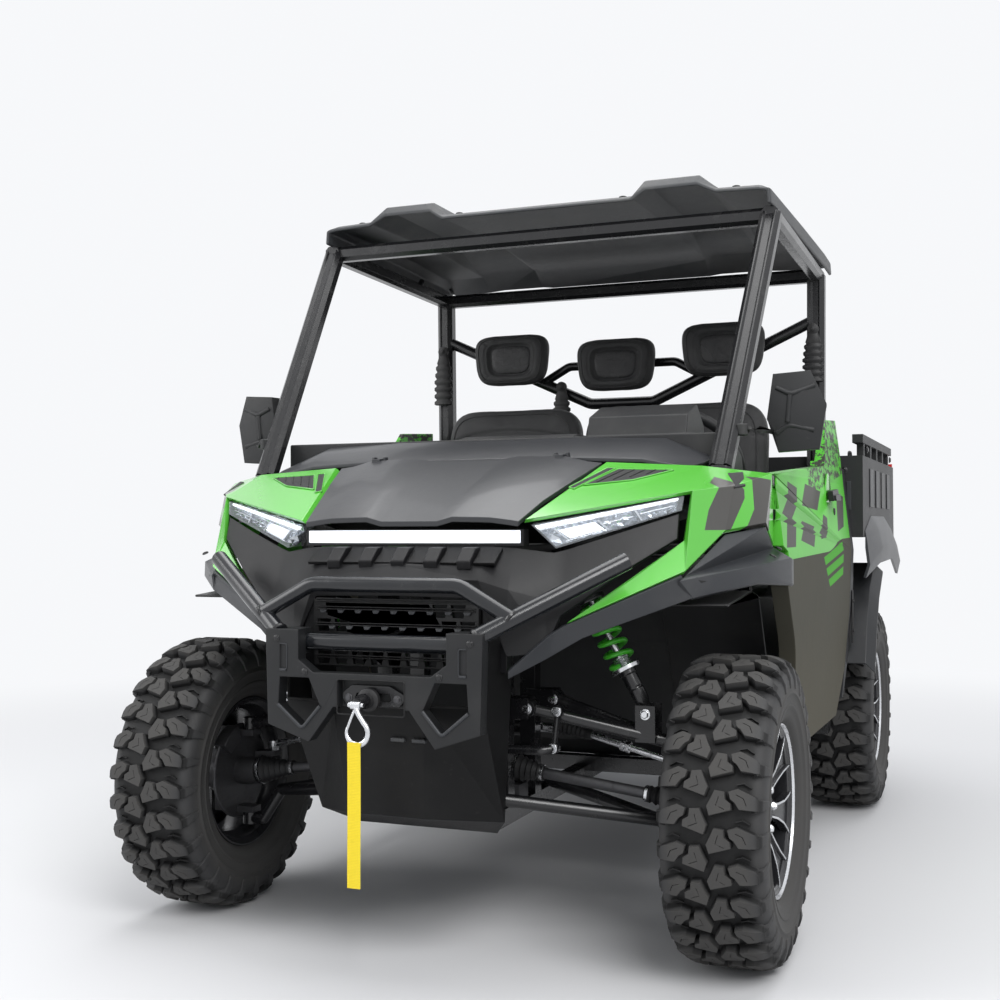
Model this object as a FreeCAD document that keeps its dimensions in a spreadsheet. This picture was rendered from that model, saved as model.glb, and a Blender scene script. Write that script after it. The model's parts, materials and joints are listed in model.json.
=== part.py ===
import FreeCAD, Part
import math
import os
import Sketcher
from FreeCAD import Vector

# Full-size two-seat utility vehicle with a cargo bed, millimetres.
# Build frame: X to the vehicle's left, Y to the rear with 0 at the front axle, Z up from the ground.
# Every piece gets one Placement that moves it to the middle of the vehicle's length.

doc = FreeCAD.newDocument("utility_vehicle")
sheet = doc.addObject("Spreadsheet::Sheet", "sizes")

# Driving sizes: name, value
SIZES = [
    ("front_reach", 549), ("rear_reach", 591), ("wheelbase", 1851),
    ("front_half_track", 689), ("rear_half_track", 682),
    ("tyre_radius", 343), ("front_tyre_width", 229), ("rear_tyre_width", 250),
    ("tread_pitches", 28), ("lug_height", 18), ("shoulder_drop", 13),
    ("bead_radius", 178), ("rim_flange_radius", 192), ("rim_width_front", 178), ("rim_width_rear", 203),
    ("rim_wall", 8), ("disc_outboard", 34), ("disc_thickness", 20), ("hub_radius", 62),
    ("spindle_radius", 24), ("running_gap", 0.05), ("seat_gap", 0.3), ("window_count", 7),
    ("kingpin_x", 600), ("upper_ball_z", 452), ("lower_ball_z", 236), ("steering_arm", 105),
    ("rack_back", 130),
    ("tie_rod_radius", 9), ("rack_z", 478), ("carrier_radius", 60), ("carrier_thickness", 28),
    ("joint_bell_radius", 38), ("shaft_radius", 13), ("arm_tube_radius", 15), ("frame_tube", 40),
    ("rail_x", 150), ("rail_z", 305), ("sill_x", 610), ("bed_floor_z", 940),
    ("door_wall", 42), ("panel_gap", 6), ("door_front_y", 156), ("door_rear_y", 1372),
    ("door_skin_x", 742), ("belt_z", 1165), ("sill_bottom_z", 385),
    ("pillar_width", 56), ("pillar_depth", 44), ("hood_front_y", -287), ("hood_rear_y", 44),
    ("bed_front_y", "=wheelbase - 413"), ("bed_rear_y", "=wheelbase + 579"),
    ("bed_half_width", 796), ("bed_wall", 40), ("bed_rail_z", 1276), ("tailgate_thickness", 34),
    ("gate_pin_radius", 8), ("hitch_pin_radius", 8), ("guard_tube_radius", 19),
    ("steering_wheel_radius", 176), ("steering_wheel_grip", 15),
]


class Size(float):
    """A number that remembers the sheet formula it came from."""

    def __new__(cls, value, text=None):
        size = super().__new__(cls, value)
        size.text = text if text is not None else repr(float(value))
        return size

    @staticmethod
    def of(other):
        return other if isinstance(other, Size) else Size(other)

    def join(self, other, sign, value):
        return Size(value, f"({self.text} {sign} {Size.of(other).text})")

    def __add__(self, other):
        return self.join(other, "+", float(self) + float(other))

    def __sub__(self, other):
        return self.join(other, "-", float(self) - float(other))

    def __mul__(self, other):
        return self.join(other, "*", float(self) * float(other))

    def __truediv__(self, other):
        return self.join(other, "/", float(self) / float(other))

    def __radd__(self, other):
        return Size.of(other) + self

    def __rsub__(self, other):
        return Size.of(other) - self

    def __rmul__(self, other):
        return Size.of(other) * self

    def __neg__(self):
        return Size(-float(self), f"(-{self.text})")


for row, (name, value) in enumerate(SIZES, start=1):
    sheet.set(f"A{row}", name)
    sheet.set(f"B{row}", str(value))
    sheet.setAlias(f"B{row}", name)
doc.recompute()


def size(name):
    return Size(float(sheet.get(name)), f"sizes.{name}")


def names(text):
    return [size(name) for name in text.split()]


PARTS = []
front_reach, rear_reach, wheelbase = names("front_reach rear_reach wheelbase")
axle_y = front_reach - (front_reach + wheelbase + rear_reach) / 2


def bind(item, prop, value):
    item.setExpression(prop, Size.of(value).text)


def place(item, x=0, y=0, z=0):
    """Put an object in the vehicle, y counted from the front axle."""
    bind(item, "Placement.Base.x", x)
    bind(item, "Placement.Base.y", axle_y + y)
    bind(item, "Placement.Base.z", z)


def add_shape(label, shape):
    """A sub-part whose shape is worked out from the sheet's sizes."""
    item = doc.addObject("Part::Feature", label)
    item.Label = label
    item.Shape = shape
    place(item)
    PARTS.append(item)
    return item


def plane_of(body, role):
    return next(item for item in body.Origin.OriginFeatures if item.Role == role)


def add_body(label, x=0, y=0, z=0):
    body = doc.addObject("PartDesign::Body", label)
    body.Label = label
    place(body, x, y, z)
    PARTS.append(body)
    return body


def sketch(body, name, role, loops):
    """A sketch on an origin plane; each loop is a list of (across, up) points bound to the sheet."""
    item = body.newObject("Sketcher::SketchObject", name)
    item.AttachmentSupport = (plane_of(body, role), [""])
    item.MapMode = "FlatFace"
    for loop in loops:
        first = item.GeometryCount
        for index, point in enumerate(loop):
            after = loop[(index + 1) % len(loop)]
            start, end = [Vector(float(p[0]), float(p[1]), 0) for p in (point, after)]
            item.addGeometry(Part.LineSegment(start, end), False)
        for index, point in enumerate(loop):
            line = first + index
            before = first + (index - 1) % len(loop)
            item.addConstraint(Sketcher.Constraint("Coincident", before, 2, line, 1))
            for kind, value in zip(("DistanceX", "DistanceY"), point):
                number = item.addConstraint(Sketcher.Constraint(kind, -1, 1, line, 1, float(value)))
                if isinstance(value, Size):
                    item.setExpression(f"Constraints[{number}]", value.text)
    return item


def revolve(body, profile, axis="H_Axis"):
    item = body.newObject("PartDesign::Revolution", f"{profile.Name}_turned")
    item.Profile = profile
    item.ReferenceAxis = (profile, [axis])
    item.Angle = 360
    doc.recompute()
    return item


def pocket(body, profile, midplane=True, length=None):
    """Cut a sketch right through, or to a depth, and make sure that it cuts."""
    before = body.Shape.Volume
    item = body.newObject("PartDesign::Pocket", f"{profile.Name}_cut")
    item.Profile = profile
    if length is None:
        item.Type = "ThroughAll"
        item.Midplane = midplane
    else:
        bind(item, "Length", length)
    doc.recompute()
    if body.Shape.Volume > before - 1:
        item.Reversed = True
        doc.recompute()
    assert body.Shape.Volume < before - 1, item.Name
    return item


# Plain shapes in the vehicle's frame

def poly_face(points):
    ring = [Vector(*point) for point in points]
    return Part.Face(Part.makePolygon(ring + ring[:1]))


def prism_x(outline, low, high):
    """Side outline of (y, z) points, from x = low to x = high."""
    return poly_face([(low, y, z) for y, z in outline]).extrude(Vector(high - low, 0, 0))


def prism_y(outline, low, high):
    """Front outline of (x, z) points, from y = low to y = high."""
    return poly_face([(x, low, z) for x, z in outline]).extrude(Vector(0, high - low, 0))


def prism_z(outline, low, high):
    """Plan outline of (x, y) points, from z = low to z = high."""
    return poly_face([(x, y, low) for x, y in outline]).extrude(Vector(0, 0, high - low))


def block(low, high):
    return Part.makeBox(*[b - a for a, b in zip(low, high)], Vector(*low))


def rod(start, end, radius):
    start, end = Vector(*start), Vector(*end)
    return Part.makeCylinder(float(radius), (end - start).Length, start, end - start)


def bar(start, end, width, height, up=(0, 0, 1)):
    """A straight bar of rectangular section between two points."""
    start, end = Vector(*start), Vector(*end)
    along = (end - start).normalize()
    side = along.cross(Vector(*up)).normalize()
    top = side.cross(along)
    side, top = side * (float(width) / 2), top * (float(height) / 2)
    ring = [start + side + top, start - side + top, start - side - top, start + side - top]
    return Part.Face(Part.makePolygon(ring + ring[:1])).extrude(end - start)


def bent_path(points, radius):
    """Straight runs joined by tangent arcs."""
    points = [Vector(*point) for point in points]
    edges = []
    last = points[0]
    for index in range(1, len(points) - 1):
        before, corner, after = points[index - 1], points[index], points[index + 1]
        into, out = (before - corner).normalize(), (after - corner).normalize()
        half = into.getAngle(out) / 2
        back = float(radius) / math.tan(half)
        middle = (into + out).normalize() * (float(radius) / math.sin(half) - float(radius))
        start, end = corner + into * back, corner + out * back
        edges.append(Part.LineSegment(last, start).toShape())
        edges.append(Part.Arc(start, corner + middle, end).toShape())
        last = end
    edges.append(Part.LineSegment(last, points[-1]).toShape())
    return Part.Wire(edges)


def tube(points, radius, bend):
    """A round bar along straight runs and arcs."""
    path = bent_path(points, bend)
    first = Vector(*points[0])
    along = Vector(*points[1]) - first
    ring = Part.Wire([Part.Circle(first, along, float(radius)).toShape()])
    return path.makePipeShell([ring], True, True)


def facet_solid(rings):
    """A closed solid through rings of equal length, with flat facets between them."""
    rings = [[Vector(*point) for point in ring] for ring in rings]
    faces = []

    def facets(corners):
        corners = [p for i, p in enumerate(corners) if (p - corners[i - 1]).Length > 1e-6]
        if len(corners) < 3:
            return
        normal = (corners[1] - corners[0]).cross(corners[2] - corners[0])
        flat = normal.Length > 1e-9 and all(
            abs((p - corners[0]).dot(normal) / normal.Length) < 1e-4 for p in corners[3:])
        groups = [corners]
        if not flat:
            groups = [[corners[0], corners[i], corners[i + 1]] for i in range(1, len(corners) - 1)]
        for group in groups:
            faces.append(Part.Face(Part.makePolygon(group + group[:1])))

    count = len(rings[0])
    for near, far in zip(rings, rings[1:]):
        for i in range(count):
            j = (i + 1) % count
            facets([near[i], near[j], far[j], far[i]])
    facets(rings[0])
    facets(rings[-1])
    shell = Part.Shell(faces)
    shell.sewShape()
    solid = Part.Solid(shell)
    if solid.Volume < 0:
        solid.reverse()
    return solid


def offset_line(points, wall):
    """The open line moved to its left by wall, with mitred corners."""
    moved = []
    normals = []
    for (u0, v0), (u1, v1) in zip(points, points[1:]):
        length = math.hypot(u1 - u0, v1 - v0)
        normals.append((-(v1 - v0) / length, (u1 - u0) / length))
    for index, (u, v) in enumerate(points):
        a = normals[max(index - 1, 0)]
        b = normals[min(index, len(normals) - 1)]
        scale = wall / (1 + a[0] * b[0] + a[1] * b[1])
        moved.append((u + (a[0] + b[0]) * scale, v + (a[1] + b[1]) * scale))
    return moved


def wall_loft(axis, stations, wall):
    """A sheet of even wall through open section lines; each station is (place, [(u, v), ...])."""
    rings = []
    for at, line in stations:
        line = [(float(u), float(v)) for u, v in line]
        ring = line + offset_line(line, wall)[::-1]
        at = float(at)
        rings.append([{"x": (at, u, v), "y": (u, at, v), "z": (u, v, at)}[axis] for u, v in ring])
    return facet_solid(rings)


def largest(shape):
    """The biggest solid of a cut shape, without the slivers beside it."""
    return max(shape.Solids, key=lambda solid: solid.Volume)


def both(half):
    """Left-hand points (x > 0) and their mirror images, from right to left."""
    return [(-u, v) for u, v in reversed(half)] + [(u, v) for u, v in half]


def flip(shape):
    """The right-hand twin of a left-hand shape."""
    return shape.mirror(Vector(0, 0, 0), Vector(1, 0, 0))


def moved(shape, base, turn):
    """A copy of a shape made about its own origin, set down at base with a turn."""
    matrix = FreeCAD.Placement(base, turn).toMatrix()
    return shape.transformShape(matrix, True)


def fuse(shapes):
    whole = shapes[0]
    if len(shapes) > 1:
        whole = whole.multiFuse(shapes[1:])
    return whole.removeSplitter()


def pair(shape):
    return Part.Compound([shape, flip(shape)])


# Wheels: tyres and rims, turned about X

wheel_z = size("tyre_radius")
seat_gap = size("seat_gap")
bead, flange_r = names("bead_radius rim_flange_radius")
drop, lug_tall = [float(value) for value in names("shoulder_drop lug_height")]
rim_wall, disc_out, disc_thick, hub_r = names("rim_wall disc_outboard disc_thickness hub_radius")
spindle_r, running = names("spindle_radius running_gap")


def facet_ring(section, count):
    """A closed ring round X; section points are (x, radius, turn), the turn in pitches."""
    loops = []
    for x, radius, turn in section:
        angles = [2 * math.pi * (step + turn) / count for step in range(count)]
        loops.append((turn, [Vector(x, radius * math.sin(a), -radius * math.cos(a)) for a in angles]))
    faces = []
    for (turn, near), (next_turn, far) in zip(loops, loops[1:] + loops[:1]):
        for i in range(count):
            j = (i + 1) % count
            if turn == next_turn:
                groups = [[near[i], near[j], far[j], far[i]]]
            elif turn < next_turn:
                groups = [[near[i], near[j], far[i]], [near[j], far[j], far[i]]]
            else:
                groups = [[near[i], far[j], far[i]], [near[i], near[j], far[j]]]
            faces += [Part.Face(Part.makePolygon(group + group[:1])) for group in groups]
    shell = Part.Shell(faces)
    shell.sewShape()
    solid = Part.Solid(shell)
    if solid.Volume < 0:
        solid.reverse()
    return solid


# Lug: where it lies along the tread at its inner and its outer end, and how deep it is rooted
lug_inner, lug_outer, lug_root = (-20, 12), (-12, 26), 8
lug_start, lug_stop, lug_top_drop = 4, 14, 0.08


def tyre(width, rim_width):
    """A carcass of flat facets, one a pitch, and a slanted lug in each pitch of each half."""
    half, seat = float(width) / 2, float(rim_width) / 2 - 10 - float(seat_gap)
    count = int(size("tread_pitches"))
    widen = 1 / math.cos(math.pi / count)
    crown = float(wheel_z) - lug_tall
    side_points = [(seat, (float(bead) + float(seat_gap)) * widen), (seat, (float(flange_r) + 4) * widen),
                   (half, float(wheel_z) - 64), (half - 10, crown - drop), (lug_start, crown)]
    section = [(x, radius, 0) for x, radius in side_points]
    section += [(-x, radius, 0.5) for x, radius in reversed(side_points)]
    pieces = [facet_ring(section, count)]
    ends = []
    for x, span, low in ((lug_start + 2, lug_inner, 0), (half - lug_stop, lug_outer, drop)):
        top = float(wheel_z) - lug_top_drop - low
        base = top - lug_tall - lug_root
        ends.append([(x, span[0], -base), (x, span[1], -base), (x, span[1], -top), (x, span[0], -top)])
    lug = facet_solid(ends)
    middle, about = Vector(0, 0, 0), Vector(1, 0, 0)
    for step in range(count):
        right = flip(lug)
        right.rotate(middle, about, 360 * step / count)
        left = lug.copy()
        left.rotate(middle, about, 360 * (step + 0.5) / count)
        pieces += [right, left]
    return fuse(pieces)


def rim(label, x, y, rim_width, side):
    """Side is +1 on the left wheel, whose dished face looks towards +X."""
    body = add_body(label, x, y, wheel_z)
    half = rim_width / 2
    face = half - disc_out
    back = face - disc_thick
    barrel_r = bead - rim_wall
    line = [(-half, flange_r), (-half + 8, flange_r), (-half + 10, bead), (half - 10, bead),
            (half - 8, flange_r), (half, flange_r), (half, flange_r - rim_wall), (half - 12, barrel_r),
            (face, barrel_r - 6), (face - 12, hub_r), (face + 6, hub_r - 8), (face + 6, 0), (face - 6, 0),
            (face - 6, spindle_r + running), (back - 24, spindle_r + running), (back - 24, hub_r - 6),
            (back, hub_r), (back, barrel_r - 6), (-half + 12, barrel_r), (-half, flange_r - rim_wall)]
    if side < 0:
        line = [(-u, v) for u, v in line]
    profile = sketch(body, f"{label}_section", "XZ_Plane", [line])
    revolve(body, profile)
    inner, outer = hub_r + 14, bead - rim_wall - 18
    window = sketch(body, f"{label}_window", "YZ_Plane", [
        [(-inner * 0.18, inner), (inner * 0.18, inner), (outer * 0.30, outer - 10), (outer * 0.2, outer),
         (-outer * 0.2, outer), (-outer * 0.30, outer - 10)]])
    cut = pocket(body, window)
    turn = body.newObject("PartDesign::PolarPattern", f"{label}_windows")
    turn.Originals = [cut]
    turn.Axis = (plane_of(body, "X_Axis"), [""])
    turn.Angle = 360
    bind(turn, "Occurrences", size("window_count"))
    body.Tip = turn
    doc.recompute()


front_track, rear_track = names("front_half_track rear_half_track")
front_width, rear_width, front_rim, rear_rim = names(
    "front_tyre_width rear_tyre_width rim_width_front rim_width_rear")
# Corner: name, side, half track, y of the axle, tyre width, rim width
CORNERS = [
    ("front_left", 1, front_track, 0, front_width, front_rim),
    ("front_right", -1, front_track, 0, front_width, front_rim),
    ("rear_left", 1, rear_track, wheelbase, rear_width, rear_rim),
    ("rear_right", -1, rear_track, wheelbase, rear_width, rear_rim),
]
for corner, side, track, y, width, rim_width in CORNERS:
    if side > 0:
        centre = Vector(float(track), float(y), float(wheel_z))
        shape = moved(tyre(width, rim_width), centre, FreeCAD.Rotation())
    add_shape(f"tyre_{corner}", shape if side > 0 else flip(shape))
    rim(f"rim_{corner}", track * side, y, rim_width, side)

# Steering knuckles, rear uprights and the axles
kingpin, upper_z, lower_z = names("kingpin_x upper_ball_z lower_ball_z")
carrier_r, carrier_t, bell_r = names("carrier_radius carrier_thickness joint_bell_radius")
arm_reach = size("steering_arm")
rack_z = size("rack_z")


def carrier(track, rim_width, upper, lower):
    """Hub carrier: a disc with a stub axle, and an ear over and under the drive joint."""
    centre = float(track)
    inner_face = centre + rim_width / 2 - disc_out - disc_thick - 24
    plate_x = inner_face - 4 - carrier_t
    disc = rod((plate_x, 0, wheel_z), (plate_x + carrier_t, 0, wheel_z), carrier_r)
    stub = rod((plate_x, 0, wheel_z), (inner_face + disc_thick + 14, 0, wheel_z), spindle_r)
    socket = rod((kingpin + bell_r * 0.5, 0, wheel_z), (plate_x + 1, 0, wheel_z), bell_r - 4)
    socket = socket.cut(Part.makeSphere(bell_r + seat_gap, Vector(kingpin, 0, wheel_z)))
    ears = []
    for ball, way in ((upper, 1), (lower, -1)):
        near = wheel_z + way * (bell_r + 16)
        tip = ball - way * 0.5
        low, high = sorted((tip - way * 16, tip))
        ears.append(block((kingpin - 20, -20, low), (plate_x + carrier_t, 20, high)))
        low, high = sorted((near, tip))
        ears.append(block((plate_x, -20, low), (plate_x + carrier_t, 20, high)))
    return [disc, stub, socket] + ears, plate_x


knuckle_shapes, plate_x = carrier(front_track, front_rim, float(upper_z), float(lower_z))
arm_z = 380
steer_arm = prism_z([(plate_x, 14), (plate_x + 16, 14), (plate_x + 16, 60), (kingpin + 8, arm_reach + 16),
                     (kingpin - 20, arm_reach + 16), (kingpin - 20, arm_reach - 16), (plate_x, 50)],
                    arm_z - 14, arm_z)
knuckle = fuse(knuckle_shapes + [steer_arm])
add_shape("knuckle_left", knuckle)
add_shape("knuckle_right", flip(knuckle))

upright = fuse(carrier(rear_track, rear_rim, float(upper_z), float(lower_z))[0])
upright.translate(Vector(0, float(wheelbase), 0))
add_shape("rear_uprights", pair(upright))

arm_r = size("arm_tube_radius")
upper_inner_x, upper_inner_z, lower_inner_x, lower_inner_z = 215, 556, 150, 352


eye_half, low_eye_half = 20, 24
spread_upper, spread_lower = 90, 150


def wishbone(inner_x, inner_z, spread, half_eye, ball_z, way, knees):
    """Two tubes from the frame pivots to a ball housing above (way 1) or below (way -1) the ear."""
    housing_low, housing_high = sorted((ball_z, ball_z + way * 30))
    tip = (kingpin, 0, ball_z + way * 15)
    pieces = [rod((kingpin, 0, housing_low), (kingpin, 0, housing_high), 19)]
    for y in (-spread, spread):
        pieces.append(rod((inner_x, y, inner_z), knees[0], arm_r))
        pieces.append(rod((inner_x, y - half_eye, inner_z), (inner_x, y + half_eye, inner_z), 20))
    for near, far in zip(knees, knees[1:] + [tip]):
        pieces.append(Part.makeSphere(float(arm_r), Vector(*near)))
        pieces.append(rod(near, far, arm_r))
    return fuse(pieces)


upper_arm = wishbone(upper_inner_x, upper_inner_z, spread_upper, eye_half, upper_z, 1, [(520, 0, 482)])
shock_foot = block((452, -30, 480), (500, -22, 565))
shock_foot = fuse([shock_foot, block((452, 22, 480), (500, 30, 565)),
                   bar((452, 0, 500), (500, 0, 490), 60, 16)])
upper_arm = fuse([upper_arm, shock_foot])
lower_arm = wishbone(lower_inner_x, lower_inner_z, spread_lower, low_eye_half, lower_z, -1,
                     [(505, 0, 300), (560, 0, 221)])
arms = Part.Compound([upper_arm, lower_arm])
add_shape("front_arms", Part.Compound([upper_arm, lower_arm, flip(upper_arm), flip(lower_arm)]))
rear_arms = arms.copy()
rear_arms.translate(Vector(0, float(wheelbase), 0))
add_shape("rear_arms", Part.Compound(rear_arms.Solids + flip(rear_arms).Solids))

# Coil-over shocks: foot eye, body, spring with ribs, top eye
spring_r, spring_ribs = 36, 6


def shock(foot, top):
    foot, top = Vector(*foot), Vector(*top)
    length = (top - foot).Length
    line = [(0, 14), (34, 14), (34, 19), (length * 0.36, 19), (length * 0.36, spring_r)]
    pitch = (length * 0.5) / spring_ribs
    for rib in range(spring_ribs):
        at = length * 0.36 + rib * pitch
        line += [(at + pitch * 0.5, spring_r), (at + pitch * 0.6, spring_r - 9),
                 (at + pitch * 0.9, spring_r - 9), (at + pitch, spring_r)]
    line += [(length * 0.88, spring_r), (length * 0.88, 14), (length, 14)]
    ring = [Vector(0, r, a) for a, r in line]
    ring = [Vector(0, 0, 0)] + ring + [Vector(0, 0, length)]
    body = Part.Face(Part.makePolygon(ring + ring[:1])).revolve(Vector(0, 0, 0), Vector(0, 0, 1), 360)
    eyes = [rod((0, -21, z), (0, 21, z), 17) for z in (0, length)]
    whole = fuse([body] + eyes)
    turn = FreeCAD.Rotation(Vector(0, 0, 1), top - foot)
    return moved(whole, foot, turn)


front_shock = shock((476, 0, 545), (318, 0, 838))
rear_shock = shock((476, float(wheelbase), 545), (330, float(wheelbase), 820))
add_shape("shocks", Part.Compound([front_shock, flip(front_shock), rear_shock, flip(rear_shock)]))

# Frame tubes: rails and sills
tube_w, rail_x, rail_z, sill_x = names("frame_tube rail_x rail_z sill_x")
base_w = float(wheelbase)
half_w = float(tube_w) / 2
sill_z = rail_z + 25

# Drive shafts with a boot at each end, from the gear cases to the hub carriers
shaft_r = size("shaft_radius")
case_x = 96


def half_shaft(y, bell_x):
    start, end = Vector(case_x - 12, y, 405), Vector(bell_x, y, float(wheel_z))
    along = (end - start).normalize()
    inner = start + along * 60
    outer = end - along * 70
    pieces = [rod(start, inner, 34), rod(start, end, shaft_r),
              Part.makeCone(34, 20, 60, inner, along), Part.makeCone(20, 34, 60, outer, along),
              rod(outer + along * 60, end, bell_r - 2), Part.makeSphere(float(bell_r), end)]
    return fuse(pieces).cut(block((0, y - 60, 300), (case_x + seat_gap, y + 60, 500)))


front_shaft = half_shaft(0, float(kingpin))
rear_shaft = half_shaft(float(wheelbase), float(kingpin))
add_shape("half_shafts", Part.Compound([front_shaft, flip(front_shaft), rear_shaft, flip(rear_shaft)]))

# Heavy masses: the motor block behind the seats and a gear case on each axle
def feet(y0, y1, high):
    """A pair of feet that stand on the frame rails, from y0 to y1."""
    low = rail_z + half_w + seat_gap
    foot = fuse([block((rail_x - 16, y0, low), (rail_x + 16, y1, high)),
                 block((60, y0, high - 17), (rail_x + 16, y1, high))])
    return [foot, flip(foot)]


motor_y0, motor_y1 = float(wheelbase) - 437, float(wheelbase) - 201
motor = [block((-225, motor_y0, 360), (225, motor_y1, 640))]
motor = fuse(motor + feet(motor_y0 + 26, motor_y0 + 86, 377) + feet(motor_y1 - 90, motor_y1 - 30, 377))
front_case = fuse([block((-case_x, -90, 345), (case_x, 90, 452))] + feet(-30, 30, 362))
rear_case = block((-case_x, float(wheelbase) - 120, 345), (case_x, float(wheelbase) + 90, 465))
rear_case = fuse([rear_case] + feet(float(wheelbase) - 30, float(wheelbase) + 30, 362))
rear_case = fuse([rear_case, block((-60, motor_y1 - 5, 370), (60, float(wheelbase) - 100, 440))])
add_shape("powertrain", Part.Compound([front_case, fuse([rear_case, motor])]))

# Steering rack bar with its tie rods, sliding along X
tie_r = size("tie_rod_radius")
rack_y = float(size("rack_back"))
half_rack = fuse([rod((0, rack_y, rack_z), (250, rack_y, rack_z), 12),
                  rod((250, rack_y, rack_z), (kingpin - 6, arm_reach, arm_z + 14.5), tie_r),
                  rod((kingpin - 6, arm_reach, arm_z + 0.5), (kingpin - 6, arm_reach, arm_z + 26), 15)])
add_shape("tie_rods", fuse([half_rack, flip(half_rack)]))

# Steering wheel on its column; the column points back and up to the driver
wheel_r, grip_r = names("steering_wheel_radius steering_wheel_grip")
column_tilt = 35
column_dir = Vector(0, math.cos(math.radians(column_tilt)), math.sin(math.radians(column_tilt)))
column_top = Vector(372, 700, 1150)
ring = Part.makeTorus(float(wheel_r), float(grip_r))
ring = ring.fuse(Part.makeCylinder(52, 34, Vector(0, 0, -30)))
for angle in (90, 210, 330):
    a = math.radians(angle)
    tip = (float(wheel_r) * math.cos(a), float(wheel_r) * math.sin(a), 0)
    ring = ring.fuse(bar((0, 0, -10), tip, 34, 12))
ring = ring.removeSplitter()
add_shape("steering_wheel", moved(ring, column_top, FreeCAD.Rotation(Vector(0, 0, 1), column_dir)))
shroud_top = column_top - column_dir * 34


def facet_shell(corners, panels, shift):
    """A faceted skin: panels are strings of corner letters; shift goes from the outer to the inner face."""
    outer = {name: Vector(*point) for name, point in corners.items()}
    inner = {name: point + Vector(*shift) for name, point in outer.items()}
    edges = {}
    faces = []

    def add(points):
        corner = points[0]
        normal = (points[1] - corner).cross(points[2] - corner)
        flat = normal.Length > 1e-9 and all(
            abs((p - corner).dot(normal) / normal.Length) < 1e-4 for p in points[3:])
        groups = [points] if flat else [[corner, points[i], points[i + 1]] for i in range(1,
                                                                                          len(points) - 1)]
        for group in groups:
            faces.append(Part.Face(Part.makePolygon(group + group[:1])))

    for panel in panels:
        add([outer[name] for name in panel])
        add([inner[name] for name in panel])
        for a, b in zip(panel, panel[1:] + panel[0]):
            edges.setdefault(frozenset((a, b)), []).append((a, b))
    for used in edges.values():
        if len(used) == 1:
            a, b = used[0]
            add([outer[a], outer[b], inner[b], inner[a]])
    shell = Part.Shell(faces)
    shell.sewShape()
    solid = Part.Solid(shell)
    if solid.Volume < 0:
        solid.reverse()
    return solid


def profile_bar(start, end, width, depth, side, groove=0):
    """A pillar of chamfered section with a groove in two faces; side is the direction across its width."""
    start, end = Vector(*start), Vector(*end)
    along = (end - start).normalize()
    across = (Vector(*side) - along * Vector(*side).dot(along)).normalize()
    deep = along.cross(across)
    w, d, c = width / 2, depth / 2, min(width, depth) * 0.24
    line = [(w, d - c), (w - c, d), (c - w, d), (-w, d - c), (-w, c - d), (c - w, -d), (w - c, -d),
            (w, c - d)]
    if groove:
        g = width * 0.16
        line[6:6] = [(-g - groove, -d), (-g, groove - d), (g, groove - d), (g + groove, -d)]
        line[2:2] = [(g + groove, d), (g, d - groove), (-g, d - groove), (-g - groove, d)]
    ring = [start + across * u + deep * v for u, v in line]
    return Part.Face(Part.makePolygon(ring + ring[:1])).extrude(end - start)


# Frame: rails, cross tubes, axle bulkheads with arm and shock brackets, sills and body legs
bed_z = float(size("bed_floor_z"))
pillar_w, pillar_d = [float(value) for value in names("pillar_width pillar_depth")]
b_pillar = (648, 1392)
cage_foot, cage_knee, cage_top = (622, 100, 1066), (624, 116, 1113), (664, 572, 1811)
shock_top_front, shock_top_rear = (318, 838), (330, 820)
eye_gap = 0.4


def bracket_pair(x0, x1, y, half_gap, z0, z1):
    """Two plates that hold an eye between them."""
    gap = half_gap + eye_gap
    return [block((x0, y - gap - 6, z0), (x1, y - gap, z1)),
            block((x0, y + gap, z0), (x1, y + gap + 6, z1))]


def bulkhead(y0, shock_top, top_z):
    """Left half of an axle frame round y = y0."""
    pieces = []
    for y in (y0 - spread_upper, y0 + spread_upper):
        pieces.append(bar((rail_x, y, rail_z), (rail_x, y, top_z), tube_w, tube_w, (0, 1, 0)))
        pieces += bracket_pair(rail_x, upper_inner_x + 6, y, eye_half, upper_inner_z - 24,
                               upper_inner_z + 24)
        pieces.append(block((rail_x + half_w - 1, y - eye_half - 2, upper_inner_z - 24),
                            (rail_x + half_w + 5, y + eye_half + 2, upper_inner_z + 24)))
    for y in (y0 - spread_lower, y0 + spread_lower):
        pieces += bracket_pair(lower_inner_x - 16, lower_inner_x + 8, y, low_eye_half, rail_z + 10,
                               lower_inner_z + 14)
    pieces.append(bar((rail_x, y0 - spread_upper - half_w, top_z),
                      (rail_x, y0 + spread_upper + half_w, top_z),
                      tube_w, tube_w))
    pieces.append(bar((0, y0, top_z), (shock_top[0] + 24, y0, top_z), tube_w * 1.9, tube_w))
    pieces += bracket_pair(shock_top[0] - 20, shock_top[0] + 20, y0, 21, shock_top[1] - 24, top_z)
    return pieces


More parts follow.
